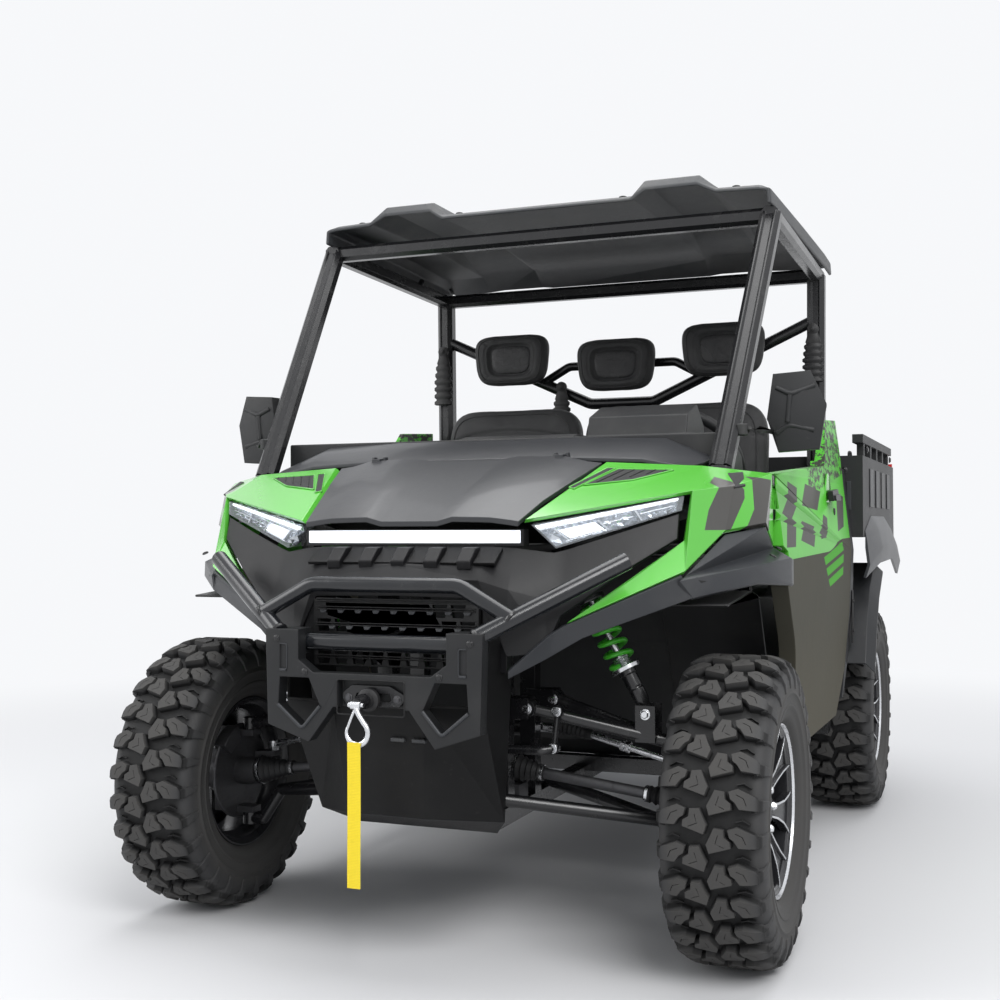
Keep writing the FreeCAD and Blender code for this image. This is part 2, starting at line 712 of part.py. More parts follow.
front_top_z, rear_top_z = shock_top_front[1] + 44, shock_top_rear[1] + 44
left = bulkhead(0, shock_top_front, front_top_z)
left += bulkhead(base_w, shock_top_rear, rear_top_z)
left += [bar((rail_x, -184, rail_z), (rail_x, base_w + 260, rail_z), tube_w, tube_w),
         bar((sill_x, 470, sill_z), (sill_x, b_pillar[1] + 28, sill_z), tube_w, tube_w),
         bar((rail_x, 1370, rear_top_z), (rail_x, base_w + 300, rear_top_z), tube_w, tube_w),
         bar((rail_x, 1389, rail_z), (rail_x, 1389, rear_top_z), tube_w, tube_w, (0, 1, 0)),
         bar((rail_x, base_w + 240, rail_z), (rail_x, base_w + 240, rear_top_z), tube_w, tube_w, (0, 1, 0)),
         bar((sill_x, 545, sill_z), (622, 330, 1000), tube_w, tube_w),
         bar((622, 340, 1000), (622, 90, 1040), tube_w, tube_w),
         bar((rail_x, 60, front_top_z), (622, 110, 1035), 30, 30),
         block((b_pillar[0] - 40, b_pillar[1] - 34, sill_z - 20),
               (b_pillar[0] + 40, b_pillar[1] + 34, sill_z + 20))]
for y, z in ((-164, rail_z), (500, sill_z), (900, sill_z), (1389, sill_z), (base_w + 240, rail_z)):
    reach = sill_x if z is sill_z else rail_x
    left.append(bar((0, y, z), (reach, y, z), tube_w, tube_w))
left.append(bar((0, 1389, rear_top_z), (b_pillar[0] - 28, 1389, rear_top_z), 30, 30))
hinge_y, hinge_z = base_w + 479, 912.0
hinge_r = 12
for x in (rail_x - 40, rail_x + 40):
    left.append(block((x - 5, base_w + 250, rear_top_z - 20), (x + 5, hinge_y + 18, hinge_z + 16)))
left.append(bar((rail_x - 45, base_w + 280, rear_top_z), (rail_x + 45, base_w + 280, rear_top_z), 30, 40))
left.append(rod((rail_x - 45, hinge_y, hinge_z), (rail_x + 45, hinge_y, hinge_z), hinge_r))
door_y0, door_y1, skin_x, belt_z, sill_bottom, door_wall = [float(value) for value in names(
    "door_front_y door_rear_y door_skin_x belt_z sill_bottom_z door_wall")]
hinge_levels, hinge_pin_r, hinge_eye_r = (1004, 1084), 5, 8
hinge_post = block((cage_foot[0] + 8, door_y0 - 5.7, 992), (cage_foot[0] + 20, door_y0 + 4, 1096))
hinges = [hinge_post]
for z in hinge_levels:
    hinges.append(block((cage_foot[0] + 10, door_y0 - 5.7, z - 12), (skin_x + 2, door_y0 - 1.2, z + 12)))
    hinges.append(rod((skin_x + 2, door_y0 + 2, z - 12), (skin_x + 2, door_y0 + 2, z + 12), hinge_eye_r))
hinges = fuse(hinges)
for z in hinge_levels:
    pin_hole = rod((skin_x + 2, door_y0 + 2, z - 13), (skin_x + 2, door_y0 + 2, z + 13),
                   hinge_pin_r + running)
    hinges = hinges.cut(pin_hole)
left.append(hinges)
rack_housing = rod((-rail_x + half_w - 1, rack_y, rack_z), (rail_x - half_w + 1, rack_y, rack_z), 24)
rack_housing = rack_housing.cut(rod((-rail_x, rack_y, rack_z), (rail_x, rack_y, rack_z), 12.06))
frame_left = fuse(left)
hitch_z, hitch_y = 425, base_w + 240
hitch = block((-38, hitch_y, hitch_z - 38), (38, hitch_y + 190, hitch_z + 38))
hitch = hitch.cut(block((-25.5, hitch_y + 20, hitch_z - 25.5), (25.5, hitch_y + 200, hitch_z + 25.5)))
hitch = hitch.cut(rod((-60, hitch_y + 150, hitch_z), (60, hitch_y + 150, hitch_z),
                      size("hitch_pin_radius")))
hitch_beam = bar((-rail_x, hitch_y, hitch_z), (rail_x, hitch_y, hitch_z), tube_w, tube_w)
add_shape("frame", fuse([frame_left, flip(frame_left), rack_housing, hitch, hitch_beam]))

# Roll cage: front legs, roof rails, headers and rear legs
cage_rear = (b_pillar[0] + 12, b_pillar[1], 1792)
out_x = (1, 0, 0)
pillar_groove = 5
left = [profile_bar(cage_foot, cage_knee, pillar_w, pillar_d, out_x),
        profile_bar(cage_knee, cage_top, pillar_w, pillar_d, out_x, pillar_groove),
        profile_bar((cage_top[0], cage_top[1] - 20, cage_top[2]),
                    (cage_rear[0], cage_rear[1] + 26, cage_rear[2]),
                    pillar_d, pillar_d, out_x),
        profile_bar((b_pillar[0], b_pillar[1], sill_z + 20.3), cage_rear, pillar_w, pillar_w, out_x,
                    pillar_groove),
        profile_bar((0, cage_top[1] + 10, cage_top[2]), (cage_top[0], cage_top[1] + 10, cage_top[2]),
                    pillar_d, pillar_d, (0, 1, 0)),
        profile_bar((0, cage_rear[1], cage_rear[2]), cage_rear, pillar_d, pillar_d, (0, 1, 0))]
cage_left = fuse(left)
add_shape("cage", fuse([cage_left, flip(cage_left)]))

# Rear brace: diagonals down to a low bar, and an arched bar that carries the headrests
brace_y, brace_r = b_pillar[1], 19
low_bar = [(-640, brace_y, 1642), (-112, brace_y, 1403), (112, brace_y, 1403), (640, brace_y, 1642)]
diagonals = tube(low_bar, brace_r, 60)
arch_line = [(x, brace_y - 2, z) for x, z in ((-290, 1480), (-190, 1536), (190, 1536), (290, 1480))]
arch = tube(arch_line, 15, 45)
# Headrest: x and z of its middle
HEADRESTS = [(-371, 1557), (6, 1524), (371, 1557)]
headrest_half, headrest_tall, headrest_y = 128, 88, 1303
posts = []
for x, z in HEADRESTS:
    posts.append(block((x - 15, brace_y - 8, 1500), (x + 15, brace_y + 6, z + 12)))
    posts.append(block((x - 40, headrest_y + 33.3, z - 12), (x + 40, brace_y + 6, z + 6)))
brace = fuse([diagonals, arch] + posts)
brace = brace.cut(fuse([cage_left, flip(cage_left)]))
add_shape("rear_brace", brace)

floor_wall = 12
floor_z = sill_z + half_w + seat_gap
floor_top = floor_z + floor_wall
liner_x = 440
toe_x = liner_x - float(seat_gap)

# Headrests, seat backs and cushions
rests = []
for x, z in HEADRESTS:
    w, h = headrest_half, headrest_tall
    outline = [(x - w, z + h - 40), (x - w + 34, z + h), (x + w - 34, z + h), (x + w, z + h - 40),
               (x + w - 16, z - h + 30), (x + w - 52, z - h), (x - w + 52, z - h), (x - w + 16, z - h + 30)]
    rests.append(prism_y(outline, headrest_y - 32, headrest_y + 33))
add_shape("headrests", Part.Compound(rests))
# Seat place: from x, to x
SEATS = [(-542, -72), (-58, 542)]
seat_chamfer = 34
back_side = [(1052, 886 + seat_gap), (1172, 886 + seat_gap), (1246, 1366), (1138, 1374)]
cushion_side = [(800, 774), (1240, 752), (1240, 886), (830, 886), (800, 866)]
backs, cushions = [], []
for low, high in SEATS:
    cut = seat_chamfer
    front = [(low, 880), (high, 880), (high, 1374 - cut), (high - cut, 1380), (low + cut, 1380),
             (low, 1374 - cut)]
    backs.append(prism_x(back_side, low, high).common(prism_y(front, 1040, 1260)))
    plan = [(low, 1250), (low, 800 + cut), (low + cut, 790), (high - cut, 790), (high, 800 + cut),
            (high, 1250)]
    cushions.append(prism_x(cushion_side, low, high).common(prism_z(plan, 740, 900)))
add_shape("seat_backs", Part.Compound(backs))
add_shape("seat_cushions", Part.Compound(cushions))
base_side = [(850, floor_top + seat_gap), (1330, floor_top + seat_gap), (1330, 1100), (1262, 1100),
             (1246, 751.6), (812, 773), (822, 700)]
seat_base = prism_x(base_side, -570, 570)
seat_base = seat_base.cut(prism_x([(880, 350), (1300, 350), (1300, 690), (880, 720)], -530, 530))
seat_base = seat_base.cut(block((-235, 1290, 350), (235, 1340, 650)))
add_shape("seat_base", seat_base)

# Floor pan with toe board, open under the seats for service
floor_line = [(1330, floor_z), (520, floor_z)]
toe_line = [(600, floor_z), (520, floor_z), (445, 400), (330, 680), (262, 900)]
floor_pan = fuse([wall_loft("x", [(-572, floor_line), (572, floor_line)], -floor_wall),
                  wall_loft("x", [(-toe_x, toe_line), (toe_x, toe_line)], -floor_wall)])
service_hole = block((-500, 923, floor_z - 1), (500, 1280, floor_top + 1))
add_shape("floor_pan", floor_pan.cut(service_hole))

# Arch liners over the front tyres
liner_line = [(-120, 800), (150, 818), (236, 800), (318, 656), (452, 398)]
liner = wall_loft("x", [(liner_x, liner_line), (690, liner_line)], 6)
add_shape("arch_liners", pair(liner))

# Hood: place along the length, edge x, edge z, ridge z, middle z
hood_front, hood_rear = names("hood_front_y hood_rear_y")
HOOD = [(hood_front, 266, 989, 1000, 990), (-190, 288, 1036, 1054, 1042), (-70, 322, 1086, 1106, 1094),
        (hood_rear, 353, 1130, 1150, 1144)]
stations = []
for at, edge, edge_z, ridge_z, middle_z in HOOD:
    half = [(edge * 0.26, middle_z), (edge * 0.40, ridge_z), (edge * 0.74, ridge_z - 2),
            (edge * 0.90, edge_z + 4),
            (edge, edge_z)]
    stations.append((at, both(half)))
hood = wall_loft("y", stations, -12)
hood_hinge = (float(hood_rear) + 7, 1151)
hood_pin, barrel_r, barrel_x = 4, 7, (236, 258)
barrels, hood_pins = [], []
for side in (-1, 1):
    near, far = sorted(side * x for x in barrel_x)
    barrels.append(rod((near, *hood_hinge), (far, *hood_hinge), barrel_r))
    barrels.append(block((near, hood_hinge[0] - 21, hood_hinge[1] - 16),
                         (far, hood_hinge[0], hood_hinge[1])))
    hood_pins.append(rod((near - 8, *hood_hinge), (far + 8, *hood_hinge), hood_pin))
    for x in (near - 8, far + 0.5):
        hood_pins.append(block((x, hood_hinge[0] - 5, hood_hinge[1] - 20),
                               (x + 7.5, hood_hinge[0] + 14, hood_hinge[1] + 6)))
pin_bore = rod((-300, *hood_hinge), (300, *hood_hinge), hood_pin + running)
add_shape("hood", fuse([hood] + barrels).cut(pin_bore))

# Cowl between the hood and the dashboard
COWL = [(float(hood_rear) + 15, 560, 1116, 1146), (125, 582, 1130, 1180), (202, 588, 1146, 1203)]
stations = [(at, both([(edge * 0.45, mid), (edge * 0.8, mid - 8), (edge, low)])) for at, edge, low,
            mid in COWL]
add_shape("cowl", fuse([wall_loft("y", stations, -10)] + hood_pins))

# Front fenders; corner letters: outer skin of the left one
FENDER = {
    "a": (280, -281, 993), "b": (366, 38, 1131), "c": (596, 46, 1118), "d": (608, -100, 1056),
    "e": (740, 140, 1100), "g": (678, 0, 1068), "h": (664, -20, 968), "i": (606, -164, 880),
    "j": (596, -128, 946), "k": (378, -288, 771), "l": (500, -204, 866), "m": (742, 140, 936),
    "n": (740, 62, 985),
    "o": (640, 140, 1112),
}
fender = facet_shell(FENDER, ["abcd", "coeg", "cgd", "dghij", "jikl", "genh", "emn"], (-7, 9, -8))
leg_hole = profile_bar((621, 92, 1040), (627, 132, 1190), pillar_w + 12, pillar_d + 16, out_x)
fender = fender.cut(leg_hole)
add_shape("fender_left", fender)
add_shape("fender_right", flip(fender))

# Front flares over the wheels with the black arch trim that runs down to the nose
FLARE = {
    "p": (604, -158, 868), "q": (662, -16, 958), "r": (738, 66, 975), "s": (741, 148, 926),
    "k": (744, 190, 915),
    "t": (598, -180, 858), "u": (734, -10, 888), "v": (782, 146, 902), "w": (779, 196, 897),
    "x": (618, -142, 820), "y": (737, -8, 850), "z": (782, 146, 842), "m": (779, 196, 838),
}
flare = facet_shell(FLARE, ["pqrs", "psut", "suv", "skwv", "tuyx", "uvzy", "vwmz"], (-6, 4, -5))
TRIM = {"a": (370, -294, 762), "b": (600, -172, 869), "c": (618, -142, 820), "d": (404, -262, 736),
        "e": (334, -300, 692), "f": (266, -352, 652), "g": (268, -358, 668), "h": (346, -320, 742)}
trim = facet_shell(TRIM, ["abcd", "adeh", "hefg"], (-4, 8, 3))
front_flare = fuse([flare, trim]).cut(fender)
add_shape("front_flares", pair(front_flare))

# Nose: fascia, light strip, headlamps, grille
FASCIA = [(0, [(-285, 934), (-345, 894), (-374, 866), (-364, 826)]),
          (200, [(-283, 934), (-335, 892), (-360, 862), (-354, 822)]),
          (262, [(-278, 930), (-318, 884), (-342, 842), (-352, 700)]),
          (334, [(-246, 920), (-276, 876), (-300, 820), (-316, 706)]),
          (364, [(-232, 928), (-258, 876), (-282, 830), (-296, 786)]),
          (480, [(-178, 968), (-198, 930), (-212, 900), (-222, 878)]),
          (582, [(-122, 1004), (-128, 984), (-134, 966), (-138, 950)])]
half = wall_loft("x", FASCIA, 10)
chin = fuse([prism_z([(206, -350), (262, -350), (262, -325), (206, -325)], 664, 720),
             block((206, -349, 640), (232, -250, 830))])
fascia_left = largest(fuse([half, chin]).cut(front_flare))
rib_side = [(-287, 933.6), (-314, 931), (-348, 902), (-344, 884), (-288, 922)]
ribs = [prism_x(rib_side, x - 6, x + 6) for x in (-160, -80, 0, 80, 160)]
add_shape("fascia", fuse([fascia_left, flip(fascia_left)] + ribs))
add_shape("light_strip",
          prism_z([(-272, -272), (-150, -284), (150, -284), (272, -272), (272, -240), (-272, -240)],
                                 934 + seat_gap, 972))
LAMP = {"a": (290, -271, 981), "b": (592, -112, 1043.8), "c": (588, -118, 1012), "d": (338, -246, 929)}
lamp = facet_shell(LAMP, ["abcd"], (-14, 46, 4))
add_shape("headlamps", pair(lamp))
mesh_x, mesh_low, mesh_high = 201.7, 668, 816
mesh = block((-mesh_x, -360, mesh_low), (mesh_x, -348, mesh_high))
mesh_rows, mesh_pitch, row_tall = 4, 44, 36
holes = []
for row in range(mesh_rows):
    low = mesh_low + 4 + row * row_tall
    across = 4 if row % 2 == 0 else 3.5
    for step in range(int(2 * across) + 1):
        x = (step - across) * mesh_pitch
        holes.append(prism_y([(x - 13, low), (x + 13, low), (x + 18, low + 28), (x - 18, low + 28)], -370,
                             -340))
mesh = mesh.cut(Part.Compound(holes))
mesh_posts = [block((x - 5.7, -352, 666), (x + 5.7, -338, 818.6)) for x in (-196, 196)]
add_shape("grille", fuse([mesh] + mesh_posts))

# Front bumper: moulded plate with two uprights, winch recess and step holes
BUMPER = [(90, 592), (150, 514), (252, 548), (258, 756), (176, 756), (176, 690), (140, 664), (0, 664),
          (0, 592)]
bumper = prism_y(BUMPER, -474, -440)
bumper = bumper.cut(prism_y([(150, 652), (222, 652), (226, 592), (166, 542), (122, 592)], -480, -430))
bumper = bumper.cut(block((204, -480, 668), (222, -470, 724)))
bumper = fuse([bumper, block((182, -442, 700), (236, -406, 756))])
bumper = fuse([bumper, flip(bumper)]).cut(block((-78, -480, 580), (78, -452, 650)))
add_shape("bumper", bumper)
guard_r = float(size("guard_tube_radius"))
hoop_line = [(-300, -418, 785), (-178, -412, 852), (178, -412, 852), (300, -418, 785)]
hoop = tube(hoop_line, guard_r - 2, 60)
wings = [rod((side * 232, -457, 745), (side * 510, -277, 904), guard_r) for side in (-1, 1)]
cross = rod((-182 + seat_gap, -420, 726), (182 - seat_gap, -420, 726), guard_r)
add_shape("brush_guard", Part.Compound([fuse([hoop] + wings).cut(bumper), cross]))
fairlead = block((-74, -462, 592), (74, -452.2, 640)).cut(block((-42, -470, 606), (42, -440, 624)))
add_shape("fairlead", fairlead)
hook_ring = Part.makeTorus(24, 5.5, Vector(8, -540, 552), Vector(0.12, 1, 0))
hook = fuse([hook_ring, rod((6, -538, 574), (2, -508, 610), 8), rod((2, -520, 612), (2, -462.3, 612), 17)])
add_shape("winch_hook", hook)
add_shape("pull_strap", block((-15, -549, 232), (15, -546.6, 532)))
SKID = {"a": (0, -439.7, 596), "b": (110, -439.7, 596), "c": (236, -420, 596), "d": (250, -300, 596),
        "e": (0, -420, 357), "f": (90, -404, 352), "g": (228, -278, 330), "h": (0, -189.3, 283),
        "i": (175, -189.3, 283), "j": (244, -400, 736), "k": (258, -290, 736)}
skid = facet_shell(SKID, ["abfe", "bcgf", "cdg", "efh", "fgih", "jkdc"], (-4, 5, 5))
skid = largest(skid.cut(fascia_left))
add_shape("skid_plate", fuse([skid, flip(skid)]))

# Roof: place along the length, top z, blister z, rim x, rim z
ROOF = [(526, 1884, 1908, 672, 1834), (548, 1894, 1934, 674, 1834), (1000, 1904, 1934, 686, 1824),
        (1400, 1886, 1898, 694, 1814), (1500, 1846, 1850, 694, 1810)]
stations = []
for at, top, blister, rim_x, rim_z in ROOF:
    half = [(286, top), (322, blister), (474, blister), (524, top), (rim_x - 34, top - 4),
            (rim_x - 3, rim_z + 42),
            (rim_x, rim_z)]
    stations.append((at, both(half)))
add_shape("roof", wall_loft("y", stations, -10))

# Mirrors on arms from the front legs of the cage
MIRROR = {"a": (716, 292, 1352), "b": (806, 300, 1358), "c": (842, 318, 1276), "d": (824, 318, 1166),
          "e": (726, 300, 1160), "f": (700, 292, 1240), "m": (768, 284, 1252)}
mirror_shell = facet_shell(MIRROR, ["abm", "bcm", "cdm", "dem", "efm", "fam"], (-6, 46, 0))
mirror_arm = fuse([tube([(650, 176, 1208), (700, 176, 1208), (716, 318, 1212)], 9, 24), mirror_shell])
mirror_arm = mirror_arm.cut(profile_bar(cage_knee, cage_top, pillar_w + 0.6, pillar_d + 0.6, out_x))
add_shape("mirrors", pair(mirror_arm))

# Dashboard with instrument pod
dash_side = [(202 + seat_gap, 1140), (202 + seat_gap, 1206), (340, 1214), (470, 1160), (500, 1100),
             (500, 960), (450, 930), (400, 1040)]
dash_half = cage_foot[0] - half_w - seat_gap
dash = prism_x(dash_side, -dash_half, dash_half)
pod = prism_x([(280, 1200), (300, 1262), (400, 1296), (480, 1240), (480, 1140), (400, 1150)], 236, 500)
lip = prism_x([(240, 1200), (330, 1222), (450, 1222), (470, 1150), (380, 1160)], -130, 196)
leg_clear = profile_bar(cage_knee, cage_top, pillar_w + 2 * seat_gap, pillar_d + 2 * seat_gap, out_x)
dash_ends = [block((x, 250, 985), (x + 24, 320, 1120)) for x in (-dash_half, dash_half - 24)]
dash = fuse([dash, pod, lip] + dash_ends).cut(leg_clear).cut(flip(leg_clear))
add_shape("dashboard", dash)
shroud = Part.makeCone(64, 42, 260, shroud_top - column_dir * 260, column_dir)
shroud = shroud.cut(block((200, 0, 800), (600, 500 + seat_gap, 1400)))
shaft_end = shroud_top + column_dir * (4 - seat_gap)
add_shape("steering_column", fuse([shroud, rod(shroud_top - column_dir * 20, shaft_end, 14)]))

# Doors: side outline and cross-section, hinged at the front edge
DOOR_SIDE = [(door_y0, 1100), (door_y0 + 2, 930), (door_y0 + 56, 916), (door_y0 + 58, 830),
             (door_y0 + 204, 668),
             (door_y0 + 350, sill_bottom + 10), (door_y1 - 110, sill_bottom), (door_y1, 520),
             (door_y1, 1316),
             (door_y1 - 244, 1300), (door_y1 - 380, belt_z - 12)]
DOOR_SECTION = [(skin_x - 26, 1330), (skin_x - 6, 1180), (skin_x, 1110), (skin_x + 24, 900),
                (skin_x + 16, 700), (skin_x - 14, 380)]
section_ring = DOOR_SECTION + offset_line(DOOR_SECTION, -door_wall)[::-1]
door = prism_x(DOOR_SIDE, 640, 800).common(prism_y(section_ring, 0, 1500))
door = door.cut(block((600, 100, belt_z + 5), (skin_x - 36, door_y1 + 10, 1400)))
door_hinge = (skin_x + 2, door_y0 + 2)
for z in hinge_levels:
    door = door.cut(rod((*door_hinge, z - 13), (*door_hinge, z + 13), 12))
    door = door.fuse(rod((*door_hinge, z - 22), (*door_hinge, z + 22), hinge_pin_r))
add_shape("door_left", door)
add_shape("door_right", flip(door))

# Side panels behind the doors, with shoulder fins and the lower mudguards
panel_gap = float(size("panel_gap"))
panel_y0 = door_y1 + panel_gap
PANEL_SIDE = [(panel_y0, 1160), (1431, 1160), (1431, 860), (1444, 800), (1440, 560), (1404, 430),
              (panel_y0, 424)]
panel = prism_x(PANEL_SIDE, 640, 800).common(prism_y(section_ring, 0, 1500))
guard_line = [(1436, 530), (1490, 650), (1580, 766), (1700, 846)]
guard_edge = [(y + 14, z - 30) for y, z in guard_line]
mudguard = wall_loft("x", [(716, guard_line), (800, guard_line), (828, guard_edge)], 7)
stays = [block((b_pillar[0] + 4, panel_y0 + 4, z), (skin_x - 20, panel_y0 + 18, z + 30)) for z in (540,
                                                                                                   1080)]
side_panel = fuse([panel, mudguard] + stays)
pillar_room = profile_bar((b_pillar[0], b_pillar[1], sill_z), cage_rear, pillar_w + 1, pillar_w + 1, out_x)
side_panel = side_panel.cut(pillar_room)
add_shape("side_panels", pair(side_panel))

# Cargo bed: floor, ribs, walls, top rails and hinge lugs; the tailgate closes its rear
bed_y0, bed_y1, bed_x, bed_wall, rail_top, gate_t = [float(value) for value in names(
    "bed_front_y bed_rear_y bed_half_width bed_wall bed_rail_z tailgate_thickness")]
wall_top, rail_tall = 1206, 28
side_wall = prism_x([(bed_y0, 962), (bed_y0, wall_top), (bed_y1, wall_top), (bed_y1, 852),
                     (bed_y1 - 130, 852),
                     (bed_y1 - 220, 962)],
                    bed_x - bed_wall, bed_x)
floor_board = block((-bed_x + 1, bed_y0, bed_z), (bed_x - 1, bed_y1 - gate_t - 8, bed_z + 26))
front_wall = block((-bed_x + 1, bed_y0, bed_z), (bed_x - 1, bed_y0 + bed_wall, wall_top))
left = [side_wall, block((bed_x - 34, bed_y0 + 10, rail_top - rail_tall), (bed_x, bed_y1 - 70, rail_top))]
for y in range(int(bed_y0) + 60, int(bed_y1) - 120, 190):
    left.append(block((bed_x - 26, y, wall_top - 1), (bed_x - 4, y + 34, rail_top - rail_tall + 1)))
for x in (rail_x - 30, rail_x + 17):
    lug = block((x, hinge_y - 24, hinge_z - 6), (x + 13, hinge_y + 24, bed_z + 2))
    lug = lug.cut(rod((x - 5, hinge_y, hinge_z), (x + 20, hinge_y, hinge_z), hinge_r + 0.06))
    left.append(lug)
bed_left = fuse(left)
for y in range(int(bed_y0) + 100, int(bed_y1) - 160, 120):
    floor_board = floor_board.fuse(block((-bed_x + 60, y, bed_z + 25), (bed_x - 60, y + 46, bed_z + 34)))
bed = fuse([floor_board, front_wall, bed_left, flip(bed_left)])
bed = bed.cut(block((-800, base_w - 400, bed_z - 60), (-bed_x + bed_wall + 1, base_w + 300, bed_z - 0.5)))
gate_hinge = (bed_y1 - 16, bed_z + 14)
gate_pin_r = size("gate_pin_radius")
bed = bed.cut(rod((-bed_x + bed_wall - 15, *gate_hinge), (bed_x - bed_wall + 15, *gate_hinge),
                  gate_pin_r + running))
add_shape("bed", bed)
REAR_FLARE = [(base_w - 369, [(bed_x + 1, 962), (bed_x + 6, 934), (bed_x + 16, 850), (bed_x + 2, 806)]),
              (base_w - 201, [(bed_x + 1, 1012), (bed_x + 26, 966), (bed_x + 40, 902), (bed_x + 30, 852)]),
              (base_w + 209, [(bed_x + 1, 1012), (bed_x + 26, 966), (bed_x + 40, 906), (bed_x + 30, 858)]),
              (base_w + 515, [(bed_x + 1, 950), (bed_x + 19, 902), (bed_x + 30, 842), (bed_x + 19, 792)])]
rear_flare = wall_loft("y", REAR_FLARE, -9)
rear_flare = rear_flare.cut(block((bed_x - 90, bed_y0 - 40, 900), (bed_x + 0.3, bed_y1 + 70, 1300)))
add_shape("rear_flares", pair(rear_flare))
gate_pins = rod((-bed_x + bed_wall - 14, *gate_hinge), (bed_x - bed_wall + 14, *gate_hinge), gate_pin_r)
gate = block((-bed_x + bed_wall + 6, bed_y1 - gate_t, bed_z + 8), (bed_x - bed_wall - 6, bed_y1, wall_top))
gate_ribs = [block((-620, bed_y1 - gate_t - 4, z), (620, bed_y1 - gate_t + 1, z + 30)) for z in (1010,
                                                                                                 1070, 1130)]
add_shape("tailgate", fuse([gate, gate_pins] + gate_ribs))
lamp_rear = block((bed_x - 38, bed_y1 + 0.3, 1080), (bed_x - 4, bed_y1 + 12, 1220))
add_shape("tail_lamps", pair(lamp_rear))

doc.recompute()
bad = [item.Name for item in doc.Objects if "Invalid" in item.State or "Error" in item.State]
assert not bad, bad
os.makedirs("parts", exist_ok=True)
for item in PARTS:
    assert not item.Shape.isNull() and item.Shape.isValid(), item.Label
    item.Shape.exportStep(f"parts/{item.Label}.step")
box = Part.Compound([item.Shape for item in PARTS]).BoundBox
print(len(PARTS), "pieces;",
      [round(v, 1) for v in (box.XMin, box.XMax, box.YMin, box.YMax, box.ZMin, box.ZMax)])
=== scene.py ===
"""Looks of a side-by-side utility vehicle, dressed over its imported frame.

Lengths are metres in the vehicle's own frame: the front faces -Y, +X is the vehicle's left, +Z is up.
"""

from __future__ import annotations

import json
import logging
import math
from dataclasses import dataclass, field
from enum import Enum
from typing import Any, Callable, Iterable, Sequence

import bmesh
import bpy
from mathutils import Matrix, Vector
from mathutils.bvhtree import BVHTree

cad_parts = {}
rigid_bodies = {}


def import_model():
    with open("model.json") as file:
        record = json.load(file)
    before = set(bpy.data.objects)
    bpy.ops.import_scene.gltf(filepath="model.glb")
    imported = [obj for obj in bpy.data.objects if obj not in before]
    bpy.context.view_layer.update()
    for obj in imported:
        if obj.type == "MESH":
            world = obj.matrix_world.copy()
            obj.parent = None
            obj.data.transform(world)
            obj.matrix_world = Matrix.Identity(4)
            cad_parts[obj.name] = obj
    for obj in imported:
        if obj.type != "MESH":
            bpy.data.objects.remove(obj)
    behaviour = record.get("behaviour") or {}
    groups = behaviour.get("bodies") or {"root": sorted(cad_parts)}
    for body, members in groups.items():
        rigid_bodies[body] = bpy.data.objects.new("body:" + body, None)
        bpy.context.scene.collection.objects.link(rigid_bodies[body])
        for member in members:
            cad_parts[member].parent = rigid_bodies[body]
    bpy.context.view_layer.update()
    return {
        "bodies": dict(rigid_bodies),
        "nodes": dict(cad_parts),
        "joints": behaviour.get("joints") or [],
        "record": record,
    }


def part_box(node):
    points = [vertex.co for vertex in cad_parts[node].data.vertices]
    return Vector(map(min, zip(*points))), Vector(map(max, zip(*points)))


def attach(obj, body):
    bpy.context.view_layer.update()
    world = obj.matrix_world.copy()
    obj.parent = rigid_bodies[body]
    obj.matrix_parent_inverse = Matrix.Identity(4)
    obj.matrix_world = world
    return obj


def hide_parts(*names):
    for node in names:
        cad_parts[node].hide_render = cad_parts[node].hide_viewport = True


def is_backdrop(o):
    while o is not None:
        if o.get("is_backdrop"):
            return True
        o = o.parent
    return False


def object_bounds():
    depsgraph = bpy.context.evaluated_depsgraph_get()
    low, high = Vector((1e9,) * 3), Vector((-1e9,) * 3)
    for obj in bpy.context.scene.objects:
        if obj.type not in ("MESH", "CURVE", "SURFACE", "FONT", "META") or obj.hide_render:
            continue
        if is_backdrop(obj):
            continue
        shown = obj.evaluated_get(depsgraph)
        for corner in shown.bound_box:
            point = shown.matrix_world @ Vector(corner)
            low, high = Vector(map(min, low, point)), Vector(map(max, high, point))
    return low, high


LOG = logging.getLogger("utility_vehicle")
SAME_POINT = 1e-6
NO_LENGTH = 1e-7
FRONT_AXLE = -0.9465
WHEELBASE = 1.851
WHEEL_RADIUS = 0.343

Point = tuple[float, float, float]
Colour = tuple[float, float, float, float]


class Side(Enum):
    """The vehicle's own sides."""

    LEFT = 1
    RIGHT = -1

    @property
    def word(self) -> str:
        """The side's name as the frame's nodes write it."""
        return self.name.lower()


# Shader wiring


def operator(operation: str, swapped: bool = False) -> Callable[["Wire", "Number"], "Wire"]:
    """An operator method of Wire, which adds one Math node.

    Args:
        operation: the node's operation.
        swapped: puts the other value first.

    Returns:
        The method.
    """

    def method(self: "Wire", other: "Number") -> "Wire":
        """The Math node's value."""
        return self.net.sums(operation, *((other, self) if swapped else (self, other)))

    return method


